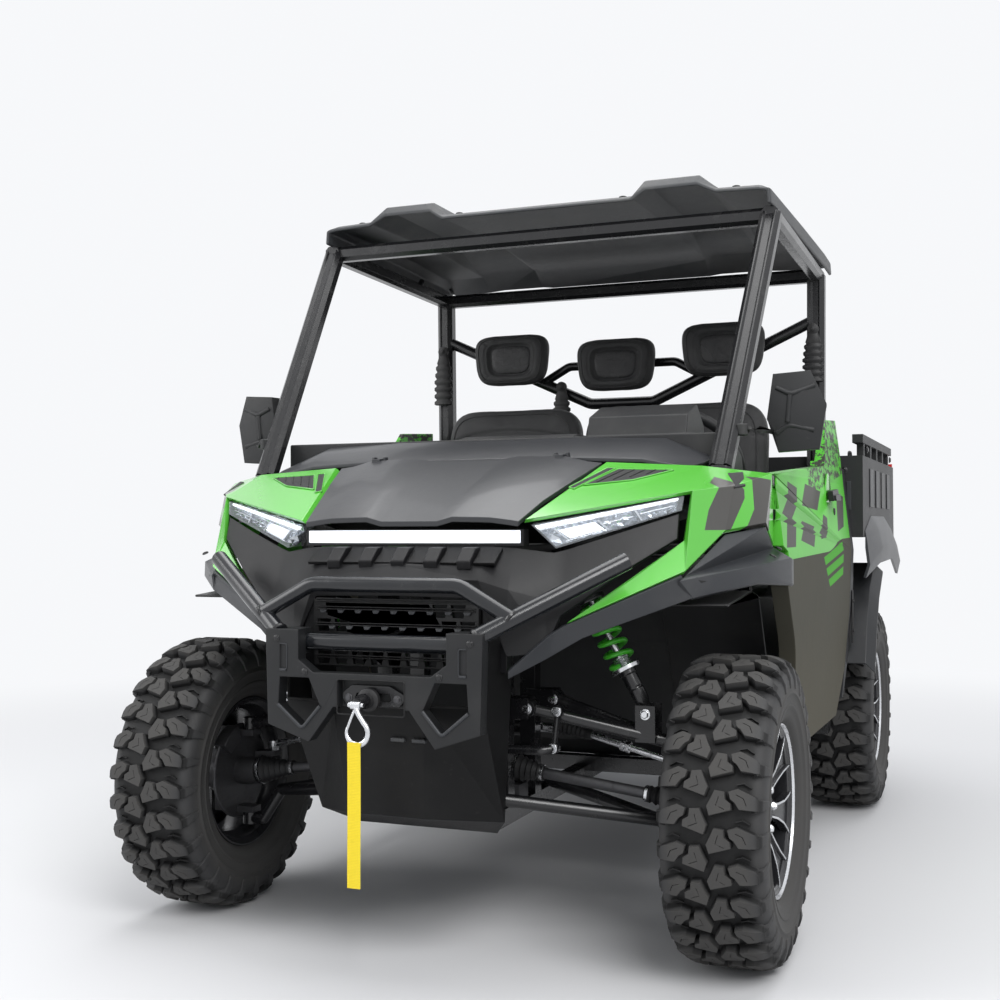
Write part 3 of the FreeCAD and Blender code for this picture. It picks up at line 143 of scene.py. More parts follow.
class Wire:
    """A shader value that takes part in Python sums: each operator adds one Math node."""

    def __init__(self, net: "Net", socket: bpy.types.NodeSocket) -> None:
        """Wrap one output socket of a net."""
        self.net = net
        self.socket = socket

    __add__, __radd__ = operator("ADD"), operator("ADD", True)
    __sub__, __rsub__ = operator("SUBTRACT"), operator("SUBTRACT", True)
    __mul__, __rmul__ = operator("MULTIPLY"), operator("MULTIPLY", True)
    __pow__ = operator("POWER")
    __gt__, __lt__ = operator("GREATER_THAN"), operator("LESS_THAN")

    def waves(self) -> "Wire":
        """Sine of this value."""
        return self.net.sums("SINE", self)

    def size(self) -> "Wire":
        """Absolute value."""
        return self.net.sums("ABSOLUTE", self)

    def ramp(self, low: float, high: float) -> "Wire":
        """Smooth step from 0 at low to 1 at high.

        Args:
            low: value that gives 0.
            high: value that gives 1.

        Returns:
            The stepped value.
        """
        node = self.net.node("ShaderNodeMapRange", {"interpolation_type": "SMOOTHSTEP"},
                             {"Value": self, "From Min": low, "From Max": high})
        return node["Result"]


Number = Wire | float


class Placed:
    """A node in a net; its outputs come by name."""

    def __init__(self, net: "Net", node: bpy.types.Node) -> None:
        """Keep a node and its net."""
        self.net = net
        self.node = node

    def __getitem__(self, name: str | int) -> Wire:
        """The output of that name or place, as a wire."""
        return Wire(self.net, self.node.outputs[name])


class Net:
    """The node tree of one finish."""

    def __init__(self, name: str) -> None:
        """Start a material with an empty tree.

        Args:
            name: the material's name.
        """
        self.material = bpy.data.materials.new(name)
        self.material.use_nodes = True
        self.tree = self.material.node_tree
        self.tree.nodes.clear()
        self.place = self.node("ShaderNodeTexCoord")["Object"]

    def node(self, kind: str, settings: dict[str, Any] | None = None,
             sockets: dict[str | int, Any] | None = None) -> Placed:
        """Add one node: its settings first, then its sockets' values or links.

        Args:
            kind: the node's type.
            settings: attributes of the node.
            sockets: input name or place to a value or a wire.

        Returns:
            The node, whose outputs are read by name.
        """
        node = self.tree.nodes.new(kind)
        for key, value in (settings or {}).items():
            setattr(node, key, value)
        for key, value in (sockets or {}).items():
            socket = node.inputs[key]
            if isinstance(value, Wire):
                self.tree.links.new(value.socket, socket)
            else:
                socket.default_value = value
        return Placed(self, node)

    def sums(self, operation: str, *values: Number) -> Wire:
        """One Math node on one to three values."""
        return self.node("ShaderNodeMath", {"operation": operation}, dict(enumerate(values)))["Value"]

    def stretched(self, scale: Point) -> Wire:
        """Object coordinates times a scale."""
        return self.node("ShaderNodeMapping", None, {"Vector": self.place, "Scale": scale})["Vector"]

    def axis(self, letter: str) -> Wire:
        """One object coordinate, in metres."""
        return self.node("ShaderNodeSeparateXYZ", None, {"Vector": self.place})[letter]

    def noise(self, scale: float, detail: float = 2.0, rough: float = 0.5, vector: Wire | None = None) -> Wire:
        """Noise between 0 and 1, in features per metre.

        Args:
            scale: features per metre.
            detail: octaves.
            rough: strength of the fine octaves.
            vector: where the noise is read, the object's own place if left out.

        Returns:
            The noise value.
        """
        return self.node("ShaderNodeTexNoise", None, {"Vector": vector or self.place, "Scale": scale,
                                                      "Detail": detail, "Roughness": rough})["Fac"]

    def cells(self, scale: float, feature: str = "F1") -> Wire:
        """Distances in Voronoi cells, in cells per metre."""
        return self.node("ShaderNodeTexVoronoi", {"feature": feature},
                         {"Vector": self.place, "Scale": scale})["Distance"]

    def blend(self, factor: Number, first: Wire | Colour, second: Wire | Colour) -> Wire:
        """Colour between two colours.

        Args:
            factor: 0 gives the first colour, 1 the second.
            first: a colour or a wire of one.
            second: a colour or a wire of one.

        Returns:
            The mixed colour.
        """
        return self.node("ShaderNodeMix", {"data_type": "RGBA"}, {0: factor, 6: first, 7: second})[2]

    def bump(self, height: Wire, depth: float, under: Wire | None = None) -> Wire:
        """A normal from a height between 0 and 1.

        Args:
            height: the height value.
            depth: metres between height 0 and height 1.
            under: a normal that this one builds on.

        Returns:
            The bumped normal.
        """
        sockets: dict[str | int, Any] = {"Height": height, "Distance": depth, "Strength": 1.0}
        if under is not None:
            sockets["Normal"] = under
        return self.node("ShaderNodeBump", None, sockets)["Normal"]

    def rounded(self, radius: float) -> Wire:
        """The normal of edges rounded to a radius in metres."""
        return self.node("ShaderNodeBevel", {"samples": 4}, {"Radius": radius})["Normal"]

    def surface(self, **sockets: Any) -> bpy.types.Material:
        """Finish the net with one Principled shader.

        Args:
            **sockets: Principled inputs, with spaces written as underscores.

        Returns:
            The finished material.
        """
        named = {key.replace("_", " "): value for key, value in sockets.items()}
        shader = self.node("ShaderNodeBsdfPrincipled", None, named)
        self.node("ShaderNodeOutputMaterial", None, {"Surface": shader["BSDF"]})
        return self.material


# Finishes


@dataclass(frozen=True)
class Finish:
    """A surface finish. Each kind says how its net is wired."""

    name: str
    slot: str

    def wire(self, net: Net) -> bpy.types.Material:
        """Wire the finish into a fresh net.

        Args:
            net: an empty net with Object coordinates.

        Returns:
            The finished material.
        """
        raise NotImplementedError

    def material(self) -> bpy.types.Material:
        """The finish's material, made once."""
        known = bpy.data.materials.get(self.name)
        return known if known is not None else self.wire(Net(self.name))


@dataclass(frozen=True)
class Moulded(Finish):
    """Moulded plastic with a fine pebble grain and a little dust."""

    colour: Colour
    roughness: float = 0.5
    grain: float = 0.00018
    pitch: float = 900.0
    edge: float = 0.0015
    dust: float = 0.10
    sheen: float = 0.36

    def wire(self, net: Net) -> bpy.types.Material:
        """Wire grain, scuffs and dust; see Finish.wire."""
        pebbles = net.cells(self.pitch)
        cloud = net.noise(3.5, 4.0, 0.6)
        scuff = net.noise(60.0, 3.0, 0.7)
        dusty = (0.30, 0.29, 0.27, 1.0)
        colour = net.blend(cloud.ramp(0.45, 0.75) * self.dust + scuff.ramp(0.60, 0.85) * 0.05, self.colour, dusty)
        rough = self.roughness + (cloud - 0.5) * 0.16 + (scuff - 0.5) * 0.10
        return net.surface(Base_Color=colour, Roughness=rough, Specular_IOR_Level=self.sheen,
                           Normal=net.bump(pebbles, self.grain, net.rounded(self.edge)))


@dataclass(frozen=True)
class Lacquered(Finish):
    """Coloured gloss panel with a soft clear coat and a faint ripple."""

    colour: Colour
    shade: Colour
    roughness: float = 0.28
    coat: float = 0.5
    edge: float = 0.003

    def wire(self, net: Net) -> bpy.types.Material:
        """Wire the ripple, the coat and dust near the ground; see Finish.wire."""
        ripple = net.noise(38.0, 2.0, 0.5)
        flake = net.noise(1400.0, 1.0, 0.5)
        cloud = net.noise(2.2, 3.0, 0.55)
        low = 1.0 - net.axis("Z").ramp(0.40, 0.95)
        dust = low * net.noise(24.0, 5.0, 0.65).ramp(0.35, 0.8) * 0.35
        colour = net.blend(cloud.ramp(0.3, 0.7) * 0.35 + flake * 0.10, self.colour, self.shade)
        colour = net.blend(dust, colour, (0.33, 0.31, 0.27, 1.0))
        rough = self.roughness + dust * 0.5 + (cloud - 0.5) * 0.08
        return net.surface(Base_Color=colour, Roughness=rough, Coat_Weight=self.coat, Coat_Roughness=0.08,
                           Specular_IOR_Level=0.5, Normal=net.bump(ripple, 0.0004, net.rounded(self.edge)))


class Livery(Enum):
    """How a lacquered panel is laid out."""

    ANGULAR = "angular patches behind the lamp"
    TWO_TONE = "coloured above a slanted line, olive below"


SHARDS = (((-0.085, 0.968), (-0.010, 0.968), (0.030, 1.060), (0.010, 1.090), (-0.030, 1.075)),
          ((0.020, 0.968), (0.085, 0.945), (0.128, 1.085), (0.070, 1.092)),
          ((0.200, 0.925), (0.330, 0.925), (0.460, 1.075), (0.330, 1.088)),
          ((0.420, 0.940), (0.620, 0.920), (0.700, 0.975), (0.520, 0.990)),
          ((0.500, 1.030), (0.760, 1.020), (0.860, 1.075), (0.600, 1.090)),
          ((0.760, 0.940), (0.900, 0.945), (0.930, 1.000), (0.860, 1.010)),
          ((1.120, 0.960), (1.260, 0.975), (1.330, 1.070), (1.180, 1.080)))


@dataclass(frozen=True)
class Painted(Lacquered):
    """Lacquered panel with dark angular patches, and an olive lower part with three slanted bars on doors."""

    livery: Livery = Livery.ANGULAR
    patch: Colour = (0.036, 0.034, 0.030, 1.0)
    olive: Colour = (0.052, 0.050, 0.038, 1.0)
    sheen: float = 0.5

    def along(self, net: Net) -> Wire:
        """Distance behind the front axle, in metres."""
        return net.axis("Y") - FRONT_AXLE

    def shard(self, net: Net, corners: Sequence[tuple[float, float]]) -> Wire:
        """The inside of one shard of the side graphics.

        Args:
            net: the finish's net.
            corners: (behind the axle, height) of a convex outline that runs anticlockwise.

        Returns:
            1 inside, 0 outside.
        """
        y, z = self.along(net), net.axis("Z")
        inside: Number = 1.0
        for (y0, z0), (y1, z1) in zip(corners, (*corners[1:], corners[0])):
            inside = inside * ((z - z0) * (y1 - y0) - (y - y0) * (z1 - z0) > 0.0)
        return inside

    def patches(self, net: Net) -> Wire:
        """The leaning shards and the mottled strip behind the window.

        Args:
            net: the finish's net.

        Returns:
            1 on a dark patch, 0 between them.
        """
        y, z = self.along(net), net.axis("Z")
        mottle = net.noise(30.0, 5.0, 0.75, net.stretched((1.0, 0.8, 1.6))).ramp(0.49, 0.51)
        total = mottle * (z - (y - 1.0) * 0.12 > 1.098) * (y > 0.66)
        for corners in SHARDS:
            total = total + self.shard(net, corners)
        return total > 0.5

    def bars(self, net: Net) -> Wire:
        """The three slanted bars at the rear of the door.

        Args:
            net: the finish's net.

        Returns:
            1 on a bar, 0 beside it.
        """
        y, z = self.along(net), net.axis("Z")
        height = z + (y - 1.08) * -0.098
        inside = (y > 0.780 + (0.892 - z) * 1.55) * (y < 1.190)
        stripes = sum(((height > low) * (height < high) for low, high in ((0.8920, 0.9185), (0.8550, 0.8800),
                                                                          (0.8175, 0.8420))), 0.0)
        return stripes * inside

    def wire(self, net: Net) -> bpy.types.Material:
        """Wire the layout over the lacquer; see Finish.wire."""
        y, z = self.along(net), net.axis("Z")
        ripple = net.noise(38.0, 2.0, 0.5)
        cloud = net.noise(2.2, 3.0, 0.55)
        flake = net.noise(1400.0, 1.0, 0.5)
        base = net.blend(cloud.ramp(0.3, 0.7) * 0.35 + flake * 0.10, self.colour, self.shade)
        dark = self.patches(net)
        colour = net.blend(dark, base, self.patch)
        rough = self.roughness + (cloud - 0.5) * 0.08 + dark * 0.10
        gloss: Number = self.coat
        if self.livery is Livery.TWO_TONE:
            border = 0.898 + (y - 0.40) * 0.012 + (y - 0.86).ramp(0.0, 0.35) * 0.030
            below = z < border
            dusty = net.noise(9.0, 5.0, 0.65)
            low = 1.0 - z.ramp(0.42, 0.85)
            olive = net.blend(low * 0.40 + (dusty - 0.5) * 0.25, self.olive, (0.120, 0.108, 0.080, 1.0))
            lower = net.blend(self.bars(net), olive, self.shade)
            colour = net.blend(below, colour, lower)
            rough = rough + below * 0.30 + low * 0.10
            gloss = (1.0 - below) * self.coat
        return net.surface(Base_Color=colour, Roughness=rough, Coat_Weight=gloss, Coat_Roughness=0.10,
                           Specular_IOR_Level=self.sheen, Normal=net.bump(ripple, 0.0004, net.rounded(self.edge)))


@dataclass(frozen=True)
class PowderCoat(Finish):
    """Painted steel with the orange peel of powder coat."""

    colour: Colour
    roughness: float = 0.34
    peel: float = 0.00012
    edge: float = 0.002

    def wire(self, net: Net) -> bpy.types.Material:
        """Wire the peel and handling marks; see Finish.wire."""
        peel = net.noise(420.0, 2.0, 0.5)
        marks = net.noise(17.0, 5.0, 0.7)
        colour = net.blend(marks.ramp(0.55, 0.85) * 0.18, self.colour, (0.20, 0.20, 0.19, 1.0))
        rough = self.roughness + (marks - 0.5) * 0.22
        return net.surface(Base_Color=colour, Roughness=rough, Specular_IOR_Level=0.5, Coat_Weight=0.12,
                           Coat_Roughness=0.2, Normal=net.bump(peel, self.peel, net.rounded(self.edge)))


@dataclass(frozen=True)
class BareMetal(Finish):
    """Machined, cast or plated metal."""

    colour: Colour
    roughness: float = 0.3
    lines: float = 240.0
    rough_cast: float = 0.0001

    def wire(self, net: Net) -> bpy.types.Material:
        """Wire tool lines, stains and the cast skin; see Finish.wire."""
        lines = net.noise(self.lines, 3.0, 0.6, net.stretched((1.0, 0.12, 1.0)))
        stain = net.noise(30.0, 5.0, 0.7)
        colour = net.blend(stain.ramp(0.5, 0.8) * 0.35, self.colour, (0.10, 0.095, 0.09, 1.0))
        rough = self.roughness + (lines - 0.5) * 0.2 + stain.ramp(0.5, 0.8) * 0.2
        return net.surface(Base_Color=colour, Metallic=1.0, Roughness=rough,
                           Normal=net.bump(lines, self.rough_cast, net.rounded(0.001)))


@dataclass(frozen=True)
class Rubber(Finish):
    """Tyre rubber: near-black painted shade on the groove floors, rubbed grey on the lugs, dusty brown on the side
    walls.
    """

    colour: Colour = (0.034, 0.034, 0.035, 1.0)
    dirt: Colour = (0.085, 0.080, 0.072, 1.0)
    # deep: near-black painted shade laid on the groove floors
    deep: Colour = (0.0035, 0.0035, 0.0036, 1.0)

    def reach(self, net: Net) -> Wire:
        """How far a place is from the axle of the nearer pair of wheels.

        Args:
            net: the finish's net.

        Returns:
            The distance in metres.
        """
        middle = FRONT_AXLE + WHEELBASE / 2
        y = (net.axis("Y") - middle).size() - WHEELBASE / 2
        z = net.axis("Z") - WHEEL_RADIUS
        return (y * y + z * z) ** 0.5

    def wire(self, net: Net) -> bpy.types.Material:
        """Wire specks, dust and the painted shade in the grooves; see Finish.wire."""
        speck = net.noise(260.0, 4.0, 0.7)
        patch = net.noise(14.0, 5.0, 0.65)
        reach = self.reach(net)
        top = reach.ramp(WHEEL_RADIUS - 0.012, WHEEL_RADIUS - 0.001)
        wall = 1.0 - reach.ramp(WHEEL_RADIUS - 0.075, WHEEL_RADIUS - 0.050)
        # painted shade: a near-black band on the groove floors and the feet of the lugs
        ring = (1.0 - (reach - (WHEEL_RADIUS - 0.0200)).size().ramp(0.004, 0.011)) * (1.0 - wall)
        dust = patch.ramp(0.42, 0.80) * 0.18 + speck.ramp(0.55, 0.9) * 0.14 + top * 0.28 + wall * 0.22
        colour = net.blend(ring * 0.85, net.blend(dust, self.colour, self.dirt), self.deep)
        rough = 0.62 + dust * 0.5 + (speck - 0.5) * 0.14
        return net.surface(Base_Color=colour, Roughness=rough, Specular_IOR_Level=0.35,
                           Normal=net.bump(speck, 0.0003, net.rounded(0.0018)))


@dataclass(frozen=True)
class Vinyl(Finish):
    """Seat vinyl with a leather grain."""

    colour: Colour
    roughness: float = 0.46
    pitch: float = 520.0

    def wire(self, net: Net) -> bpy.types.Material:
        """Wire the grain and rubbed patches; see Finish.wire."""
        warp = net.noise(90.0, 2.0, 0.5)
        grain = net.cells(self.pitch, feature="DISTANCE_TO_EDGE").ramp(0.0, 0.22)
        rubbed = net.noise(7.0, 3.0, 0.6)
        colour = net.blend(rubbed.ramp(0.5, 0.8) * 0.25, self.colour, (0.09, 0.09, 0.09, 1.0))
        rough = self.roughness - rubbed.ramp(0.45, 0.8) * 0.12 + (1.0 - grain) * 0.12
        return net.surface(Base_Color=colour, Roughness=rough, Specular_IOR_Level=0.45, Sheen_Weight=0.05,
                           Normal=net.bump(grain * 0.7 + warp * 0.3, 0.0005))


@dataclass(frozen=True)
class Webbing(Finish):
    """Flat woven strap."""

    colour: Colour
    thread: float = 0.0016

    def wire(self, net: Net) -> bpy.types.Material:
        """Wire the weave, with painted shade in its hollows; see Finish.wire."""
        per_metre = 2 * math.pi / self.thread
        across = (net.axis("X") * per_metre).waves()
        along = (net.axis("Z") * per_metre * 0.5 + across * 0.6).waves()
        weave = (across * 0.4 + along * 0.6) * 0.5 + 0.5
        fray = net.noise(55.0, 4.0, 0.6)
        dark = tuple(c * 0.55 for c in self.colour[:3]) + (1.0,)
        # darker in the weave's hollows: painted shade; the fray darkens at random as wear
        colour = net.blend((1.0 - weave) * 0.35 + fray.ramp(0.5, 0.9) * 0.2, self.colour, dark)
        return net.surface(Base_Color=colour, Roughness=0.85 - weave * 0.1, Sheen_Weight=0.2,
                           Normal=net.bump(weave, 0.0005))


@dataclass(frozen=True)
class ClearLens(Finish):
    """Thin clear lamp cover."""

    alpha: float = 0.16

    def wire(self, net: Net) -> bpy.types.Material:
        """Wire a faint haze in a clear sheet; see Finish.wire."""
        haze = net.noise(40.0, 4.0, 0.6)
        return net.surface(Base_Color=(0.80, 0.85, 0.90, 1.0), Roughness=0.04 + haze * 0.05, Alpha=self.alpha,
                           Specular_IOR_Level=0.8, Coat_Weight=1.0, Coat_Roughness=0.02)


@dataclass(frozen=True)
class Lit(Finish):
    """Lit diffuser of a lamp."""

    colour: Colour
    strength: float

    def wire(self, net: Net) -> bpy.types.Material:
        """Wire an even glow with a soft ribbed lens; see Finish.wire."""
        ribs = (net.axis("X") * 900.0).waves() * 0.5 + 0.5
        glow = net.blend(ribs * 0.2, self.colour, tuple(c * 0.8 for c in self.colour[:3]) + (1.0,))
        return net.surface(Base_Color=self.colour, Roughness=0.25, Emission_Color=glow,
                           Emission_Strength=self.strength, Coat_Weight=0.5)


TYRE_RUBBER = Rubber("tyre_rubber_dusty", "tyre_rubber")
RIM_BLACK = PowderCoat("rim_gloss_black", "rim_metal", (0.018, 0.018, 0.020, 1), 0.22)
MACHINED = BareMetal("machined_alloy", "rim_metal", (0.66, 0.67, 0.69, 1), 0.26)
BLACK_STEEL = PowderCoat("black_powder_coat", "black_steel", (0.008, 0.008, 0.009, 1), 0.26)
CAST = BareMetal("cast_hub_metal", "cast_metal", (0.10, 0.10, 0.105, 1), 0.55, 160.0, 0.0006)
BRIGHT = BareMetal("bright_plated_steel", "bright_steel", (0.70, 0.71, 0.73, 1), 0.24)
SPRING_GREEN = PowderCoat("spring_green_coat", "green_spring", (0.05, 0.42, 0.02, 1), 0.30)
GREEN: Colour = (0.085, 0.46, 0.035, 1)
DEEP_GREEN: Colour = (0.065, 0.33, 0.030, 1)
GREEN_PANEL = Lacquered("green_body_panel", "green_panel", GREEN, DEEP_GREEN, 0.26, 0.7)
GREEN_CAMO = Painted("green_panel_angular", "green_panel", GREEN, DEEP_GREEN, 0.26, 0.7)
TWO_TONE = Painted("green_over_olive", "green_panel", GREEN, DEEP_GREEN, 0.40, 0.08, 0.003, Livery.TWO_TONE, sheen=0.18)
VENT_BLACK = Moulded("vent_plastic", "black_plastic", (0.008, 0.008, 0.009, 1), 0.55, 0.0003, 500.0)
SIDE_BLACK = Moulded("side_plastic", "grey_flare", (0.022, 0.023, 0.025, 1), 0.42, 0.00012, 1100.0, 0.003, 0.08)
BED_BLACK = Moulded("bed_plastic", "black_plastic", (0.012, 0.0125, 0.0135, 1), 0.50, 0.00025, 700.0, 0.003, 0.08)
MIRROR_GLASS = BareMetal("mirror_silver", "bright_steel", (0.75, 0.77, 0.80, 1), 0.05, 20.0, 0.00001)
CHARCOAL = Lacquered("charcoal_hood_panel", "grey_panel", (0.019, 0.020, 0.023, 1), (0.028, 0.030, 0.034, 1), 0.38,
                     0.15)
ROOF_SKIN = Moulded("roof_plastic", "grey_panel", (0.030, 0.032, 0.035, 1), 0.46, 0.00022, 700.0, 0.004, 0.14)
FLARE_GREY = Moulded("flare_plastic", "grey_flare", (0.030, 0.032, 0.036, 1), 0.38, 0.00012, 1100.0, 0.003, 0.10)
BLACK_MOULD = Moulded("black_moulded_plastic", "black_plastic", (0.006, 0.006, 0.0065, 1), 0.36, dust=0.04)
CAB_MOULD = Moulded("cab_plastic", "black_plastic", (0.013, 0.0135, 0.0145, 1), 0.48, 0.00025, 800.0, 0.003, 0.06)
SEAT_VINYL = Vinyl("seat_vinyl", "seat_cover", (0.018, 0.018, 0.019, 1))
GLOSS_VINYL = Vinyl("seat_gloss_vinyl", "seat_cover", (0.006, 0.006, 0.007, 1), 0.20, 300.0)
PIPING = Vinyl("seat_piping_vinyl", "seat_cover", (0.010, 0.010, 0.011, 1), 0.38, 900.0)
BOOT_RUBBER = Moulded("ribbed_boot_rubber", "black_plastic", (0.010, 0.010, 0.011, 1), 0.50, 0.0001, 1400.0, 0.0008,
                      0.06)
FOIL = BareMetal("lamp_foil", "bright_steel", (0.62, 0.65, 0.69, 1), 0.16, 60.0, 0.00004)
FASCIA_BLACK = Moulded("fascia_plastic", "black_plastic", (0.006, 0.006, 0.0068, 1), 0.42, 0.00012, 1000.0, 0.003,
                       0.02, 0.26)
BUMPER_BLACK = Moulded("bumper_plastic", "black_plastic", (0.011, 0.0115, 0.0125, 1), 0.40, 0.00016, 900.0, 0.004, 0.04)
SKID_BLACK = Moulded("skid_plastic", "black_plastic", (0.0030, 0.0030, 0.0033, 1), 0.50, 0.00015, 900.0, 0.004, 0.015,
                     0.22)
GUARD_BLACK = PowderCoat("guard_gloss_black", "black_steel", (0.009, 0.010, 0.012, 1), 0.17)
STRAP_YELLOW = Webbing("yellow_webbing_weave", "yellow_webbing", (0.86, 0.66, 0.01, 1))
LAMP_COVER = ClearLens("lamp_cover", "clear_lens")
LAMP_GLOW = Lit("lamp_white_glow", "white_lens", (0.92, 0.95, 1.0, 1), 1.1)
STRIP_GLOW = Lit("strip_white_glow", "white_lens", (0.90, 0.93, 1.0, 1), 0.62)
TAIL_RED = Lit("tail_lamp_red", "red_lens", (0.42, 0.01, 0.01, 1), 0.15)


# Mesh tools


def linked(name: str, data: bpy.types.ID) -> bpy.types.Object:
    """A new object in the scene.

    Args:
        name: the object's name.
        data: what it holds.

    Returns:
        The object.
    """
    thing = bpy.data.objects.new(name, data)
    bpy.context.scene.collection.objects.link(thing)
    return thing


def meshed(work: bmesh.types.BMesh, name: str) -> bpy.types.Mesh:
    """A work mesh as a plain mesh.

    Args:
        work: the work mesh, freed here.
        name: the mesh's name.

    Returns:
        The mesh.
    """
    mesh = bpy.data.meshes.new(name)
    work.to_mesh(mesh)
    work.free()
    return mesh


def shown(name: str, mesh: bpy.types.Mesh, finish: Finish, body: str) -> bpy.types.Object:
    """Put a finished mesh into the scene as a piece of a body.

    Args:
        name: the piece's name.
        mesh: a mesh in the vehicle's frame.
        finish: what it is finished in.
        body: the body that carries it.

    Returns:
        The piece.
    """
    piece = linked(name, mesh)
    if not mesh.materials:
        mesh.materials.append(finish.material())
    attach(piece, body)
    return piece


def baked(source: bpy.types.Object, name: str) -> bpy.types.Mesh:
    """The object's mesh with its modifiers worked in; the object itself is removed.

    Args:
        source: an object with live modifiers.
        name: the new mesh's name.

    Returns:
        A plain mesh.
    """
    graph = bpy.context.evaluated_depsgraph_get()
    graph.update()
    mesh = bpy.data.meshes.new_from_object(source.evaluated_get(graph), depsgraph=graph)
    mesh.name = name
    bpy.data.objects.remove(source, do_unlink=True)
    return mesh


def rounded_edges(holder: bpy.types.Object, width: float, segments: int, sharp: float) -> bpy.types.Modifier:
    """Give an object a bevel on its sharp edges, with normals that follow the large faces.

    Args:
        holder: the object.
        width: rounding width in metres.
        segments: faces across each rounding.
        sharp: degrees above which an edge is rounded.

    Returns:
        The bevel.
    """
    bevel = holder.modifiers.new("edges", "BEVEL")
    bevel.width = width
    bevel.segments = segments
    bevel.limit_method = "ANGLE"
    bevel.angle_limit = math.radians(sharp)
    bevel.use_clamp_overlap = True
    bevel.harden_normals = False
    holder.modifiers.new("faces", "WEIGHTED_NORMAL").keep_sharp = True
    return bevel


def softened(node: bpy.types.Object, width: float, segments: int = 2, sharp: float = 28.0) -> bpy.types.Mesh:
    """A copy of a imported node's mesh with merged faces and rounded edges.

    Args:
        node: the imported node's object.
        width: rounding width in metres.
        segments: faces across each rounding.
        sharp: degrees above which an edge is rounded.

    Returns:
        The rounded mesh, in place.
    """
    copy = bmesh.new()
    copy.from_mesh(node.data)
    bmesh.ops.remove_doubles(copy, verts=copy.verts, dist=2e-5)
    bmesh.ops.dissolve_limit(copy, angle_limit=math.radians(0.8), verts=copy.verts, edges=copy.edges)
    bmesh.ops.dissolve_degenerate(copy, dist=width * 0.4, edges=copy.edges)
    mesh = meshed(copy, f"{node.name}_merged")
    mesh.materials.clear()
    holder = linked(f"{node.name}_holder", mesh)
    rounded_edges(holder, width, segments, sharp).miter_outer = "MITER_ARC"
    for face in mesh.polygons:
        face.use_smooth = True
    return baked(holder, f"{node.name}_soft")


def turns(count: int) -> list[float]:
    """Angles of count even steps round a circle."""
    return [2 * math.pi * step / count for step in range(count)]


def moved(place: Point, shift: Point) -> Point:
    """A place after a shift."""
    return tuple(Vector(place) + Vector(shift))


def lathed(profile: Sequence[tuple[float, float]], segments: int, centre: Point = (0, 0, 0)) -> bmesh.types.BMesh:
    """Turn a closed line of (x, radius) points about the X axis.

    Args:
        profile: the closed outline; the last point joins the first.
        segments: steps round the axis.
        centre: where the axis origin goes.

    Returns:
        A closed mesh, outward facing.
    """
    work = bmesh.new()
    rings = []
    for turn in turns(segments):
        rings.append([work.verts.new((centre[0] + x, centre[1] + r * math.sin(turn), centre[2] + r * math.cos(turn)))
                      for x, r in profile])
    for step, ring in enumerate(rings):
        after = rings[(step + 1) % segments]
        for i in range(len(profile)):
            j = (i + 1) % len(profile)
            work.faces.new((ring[i], ring[j], after[j], after[i]))
    bmesh.ops.recalc_face_normals(work, faces=work.faces)
    return work


def lofted(rings: Sequence[Sequence[Point]]) -> bmesh.types.BMesh:
    """A closed mesh through rings of equal length, capped at both ends.

    Args:
        rings: rings of points, each in the same order.

    Returns:
        A closed mesh, outward facing.
    """
    work = bmesh.new()
    rows = [[work.verts.new(point) for point in ring] for ring in rings]
    count = len(rings[0])
    for near, far in zip(rows, rows[1:]):
        for i in range(count):
            j = (i + 1) % count
            work.faces.new((near[i], near[j], far[j], far[i]))
    work.faces.new(rows[0][::-1])
    work.faces.new(rows[-1])
    bmesh.ops.recalc_face_normals(work, faces=work.faces)
    return work


def hulled(points: Iterable[Point]) -> bmesh.types.BMesh:
    """The convex block round some points.

    Args:
        points: places in the vehicle's frame.

    Returns:
        A closed mesh, outward facing.
    """
    work = bmesh.new()
    for point in points:
        work.verts.new(point)
    bmesh.ops.convex_hull(work, input=work.verts)
    bmesh.ops.dissolve_limit(work, angle_limit=math.radians(1.0), verts=work.verts, edges=work.edges)
    bmesh.ops.recalc_face_normals(work, faces=work.faces)
    return work


def swept(path: Sequence[Point], radius: float, sides: int = 16) -> bmesh.types.BMesh:
    """A round bar along a line of points, with closed ends.

    Args:
        path: points of the centre line.
        radius: the bar's radius.
        sides: faces round it.

    Returns:
        A closed mesh, outward facing.
    """
    points = [Vector(point) for point in path]
    rings = []
    across = (points[1] - points[0]).orthogonal().normalized()
    for index, point in enumerate(points):
        before, after = points[max(index - 1, 0)], points[min(index + 1, len(points) - 1)]
        along = (after - before).normalized()
        across = (across - along * across.dot(along)).normalized()
        up = along.cross(across)
        rings.append([tuple(point + (across * math.cos(a) + up * math.sin(a)) * radius) for a in turns(sides)])
    return lofted(rings)


def arc(before: Vector, corner: Vector, after: Vector, bend: float, steps: int) -> list[Point]:
    """Points that round one corner.

    Args:
        before: the corner that comes before.
        corner: the corner that is rounded.
        after: the corner that follows.
        bend: distance from the corner at which the arc starts and ends.
        steps: points on the arc, less one.

    Returns:
        The arc's points.
    """
    start = corner + (before - corner).normalized() * bend
    end = corner + (after - corner).normalized() * bend
    shares = [step / steps for step in range(steps + 1)]
    return [tuple(start * (1 - t) ** 2 + corner * (2 * t * (1 - t)) + end * t ** 2) for t in shares]


def rounded_path(points: Sequence[Point], bend: float, steps: int = 8) -> list[Point]:
    """Straight runs with their corners turned into arcs.

    Args:
        points: the corners of the line.
        bend: distance from a corner at which its arc starts.
        steps: points on each arc.

    Returns:
        The points of the rounded line.
    """
    line = [Vector(point) for point in points]
    path = [tuple(line[0])]
    for before, corner, after in zip(line, line[1:], line[2:]):
        path += arc(before, corner, after, bend, steps)
    return [*path, tuple(line[-1])]


def at(x: float, y: float, z: float) -> Point:
    """A point in the vehicle's frame from one whose y counts from the front axle."""
    return (x, y + FRONT_AXLE, z)


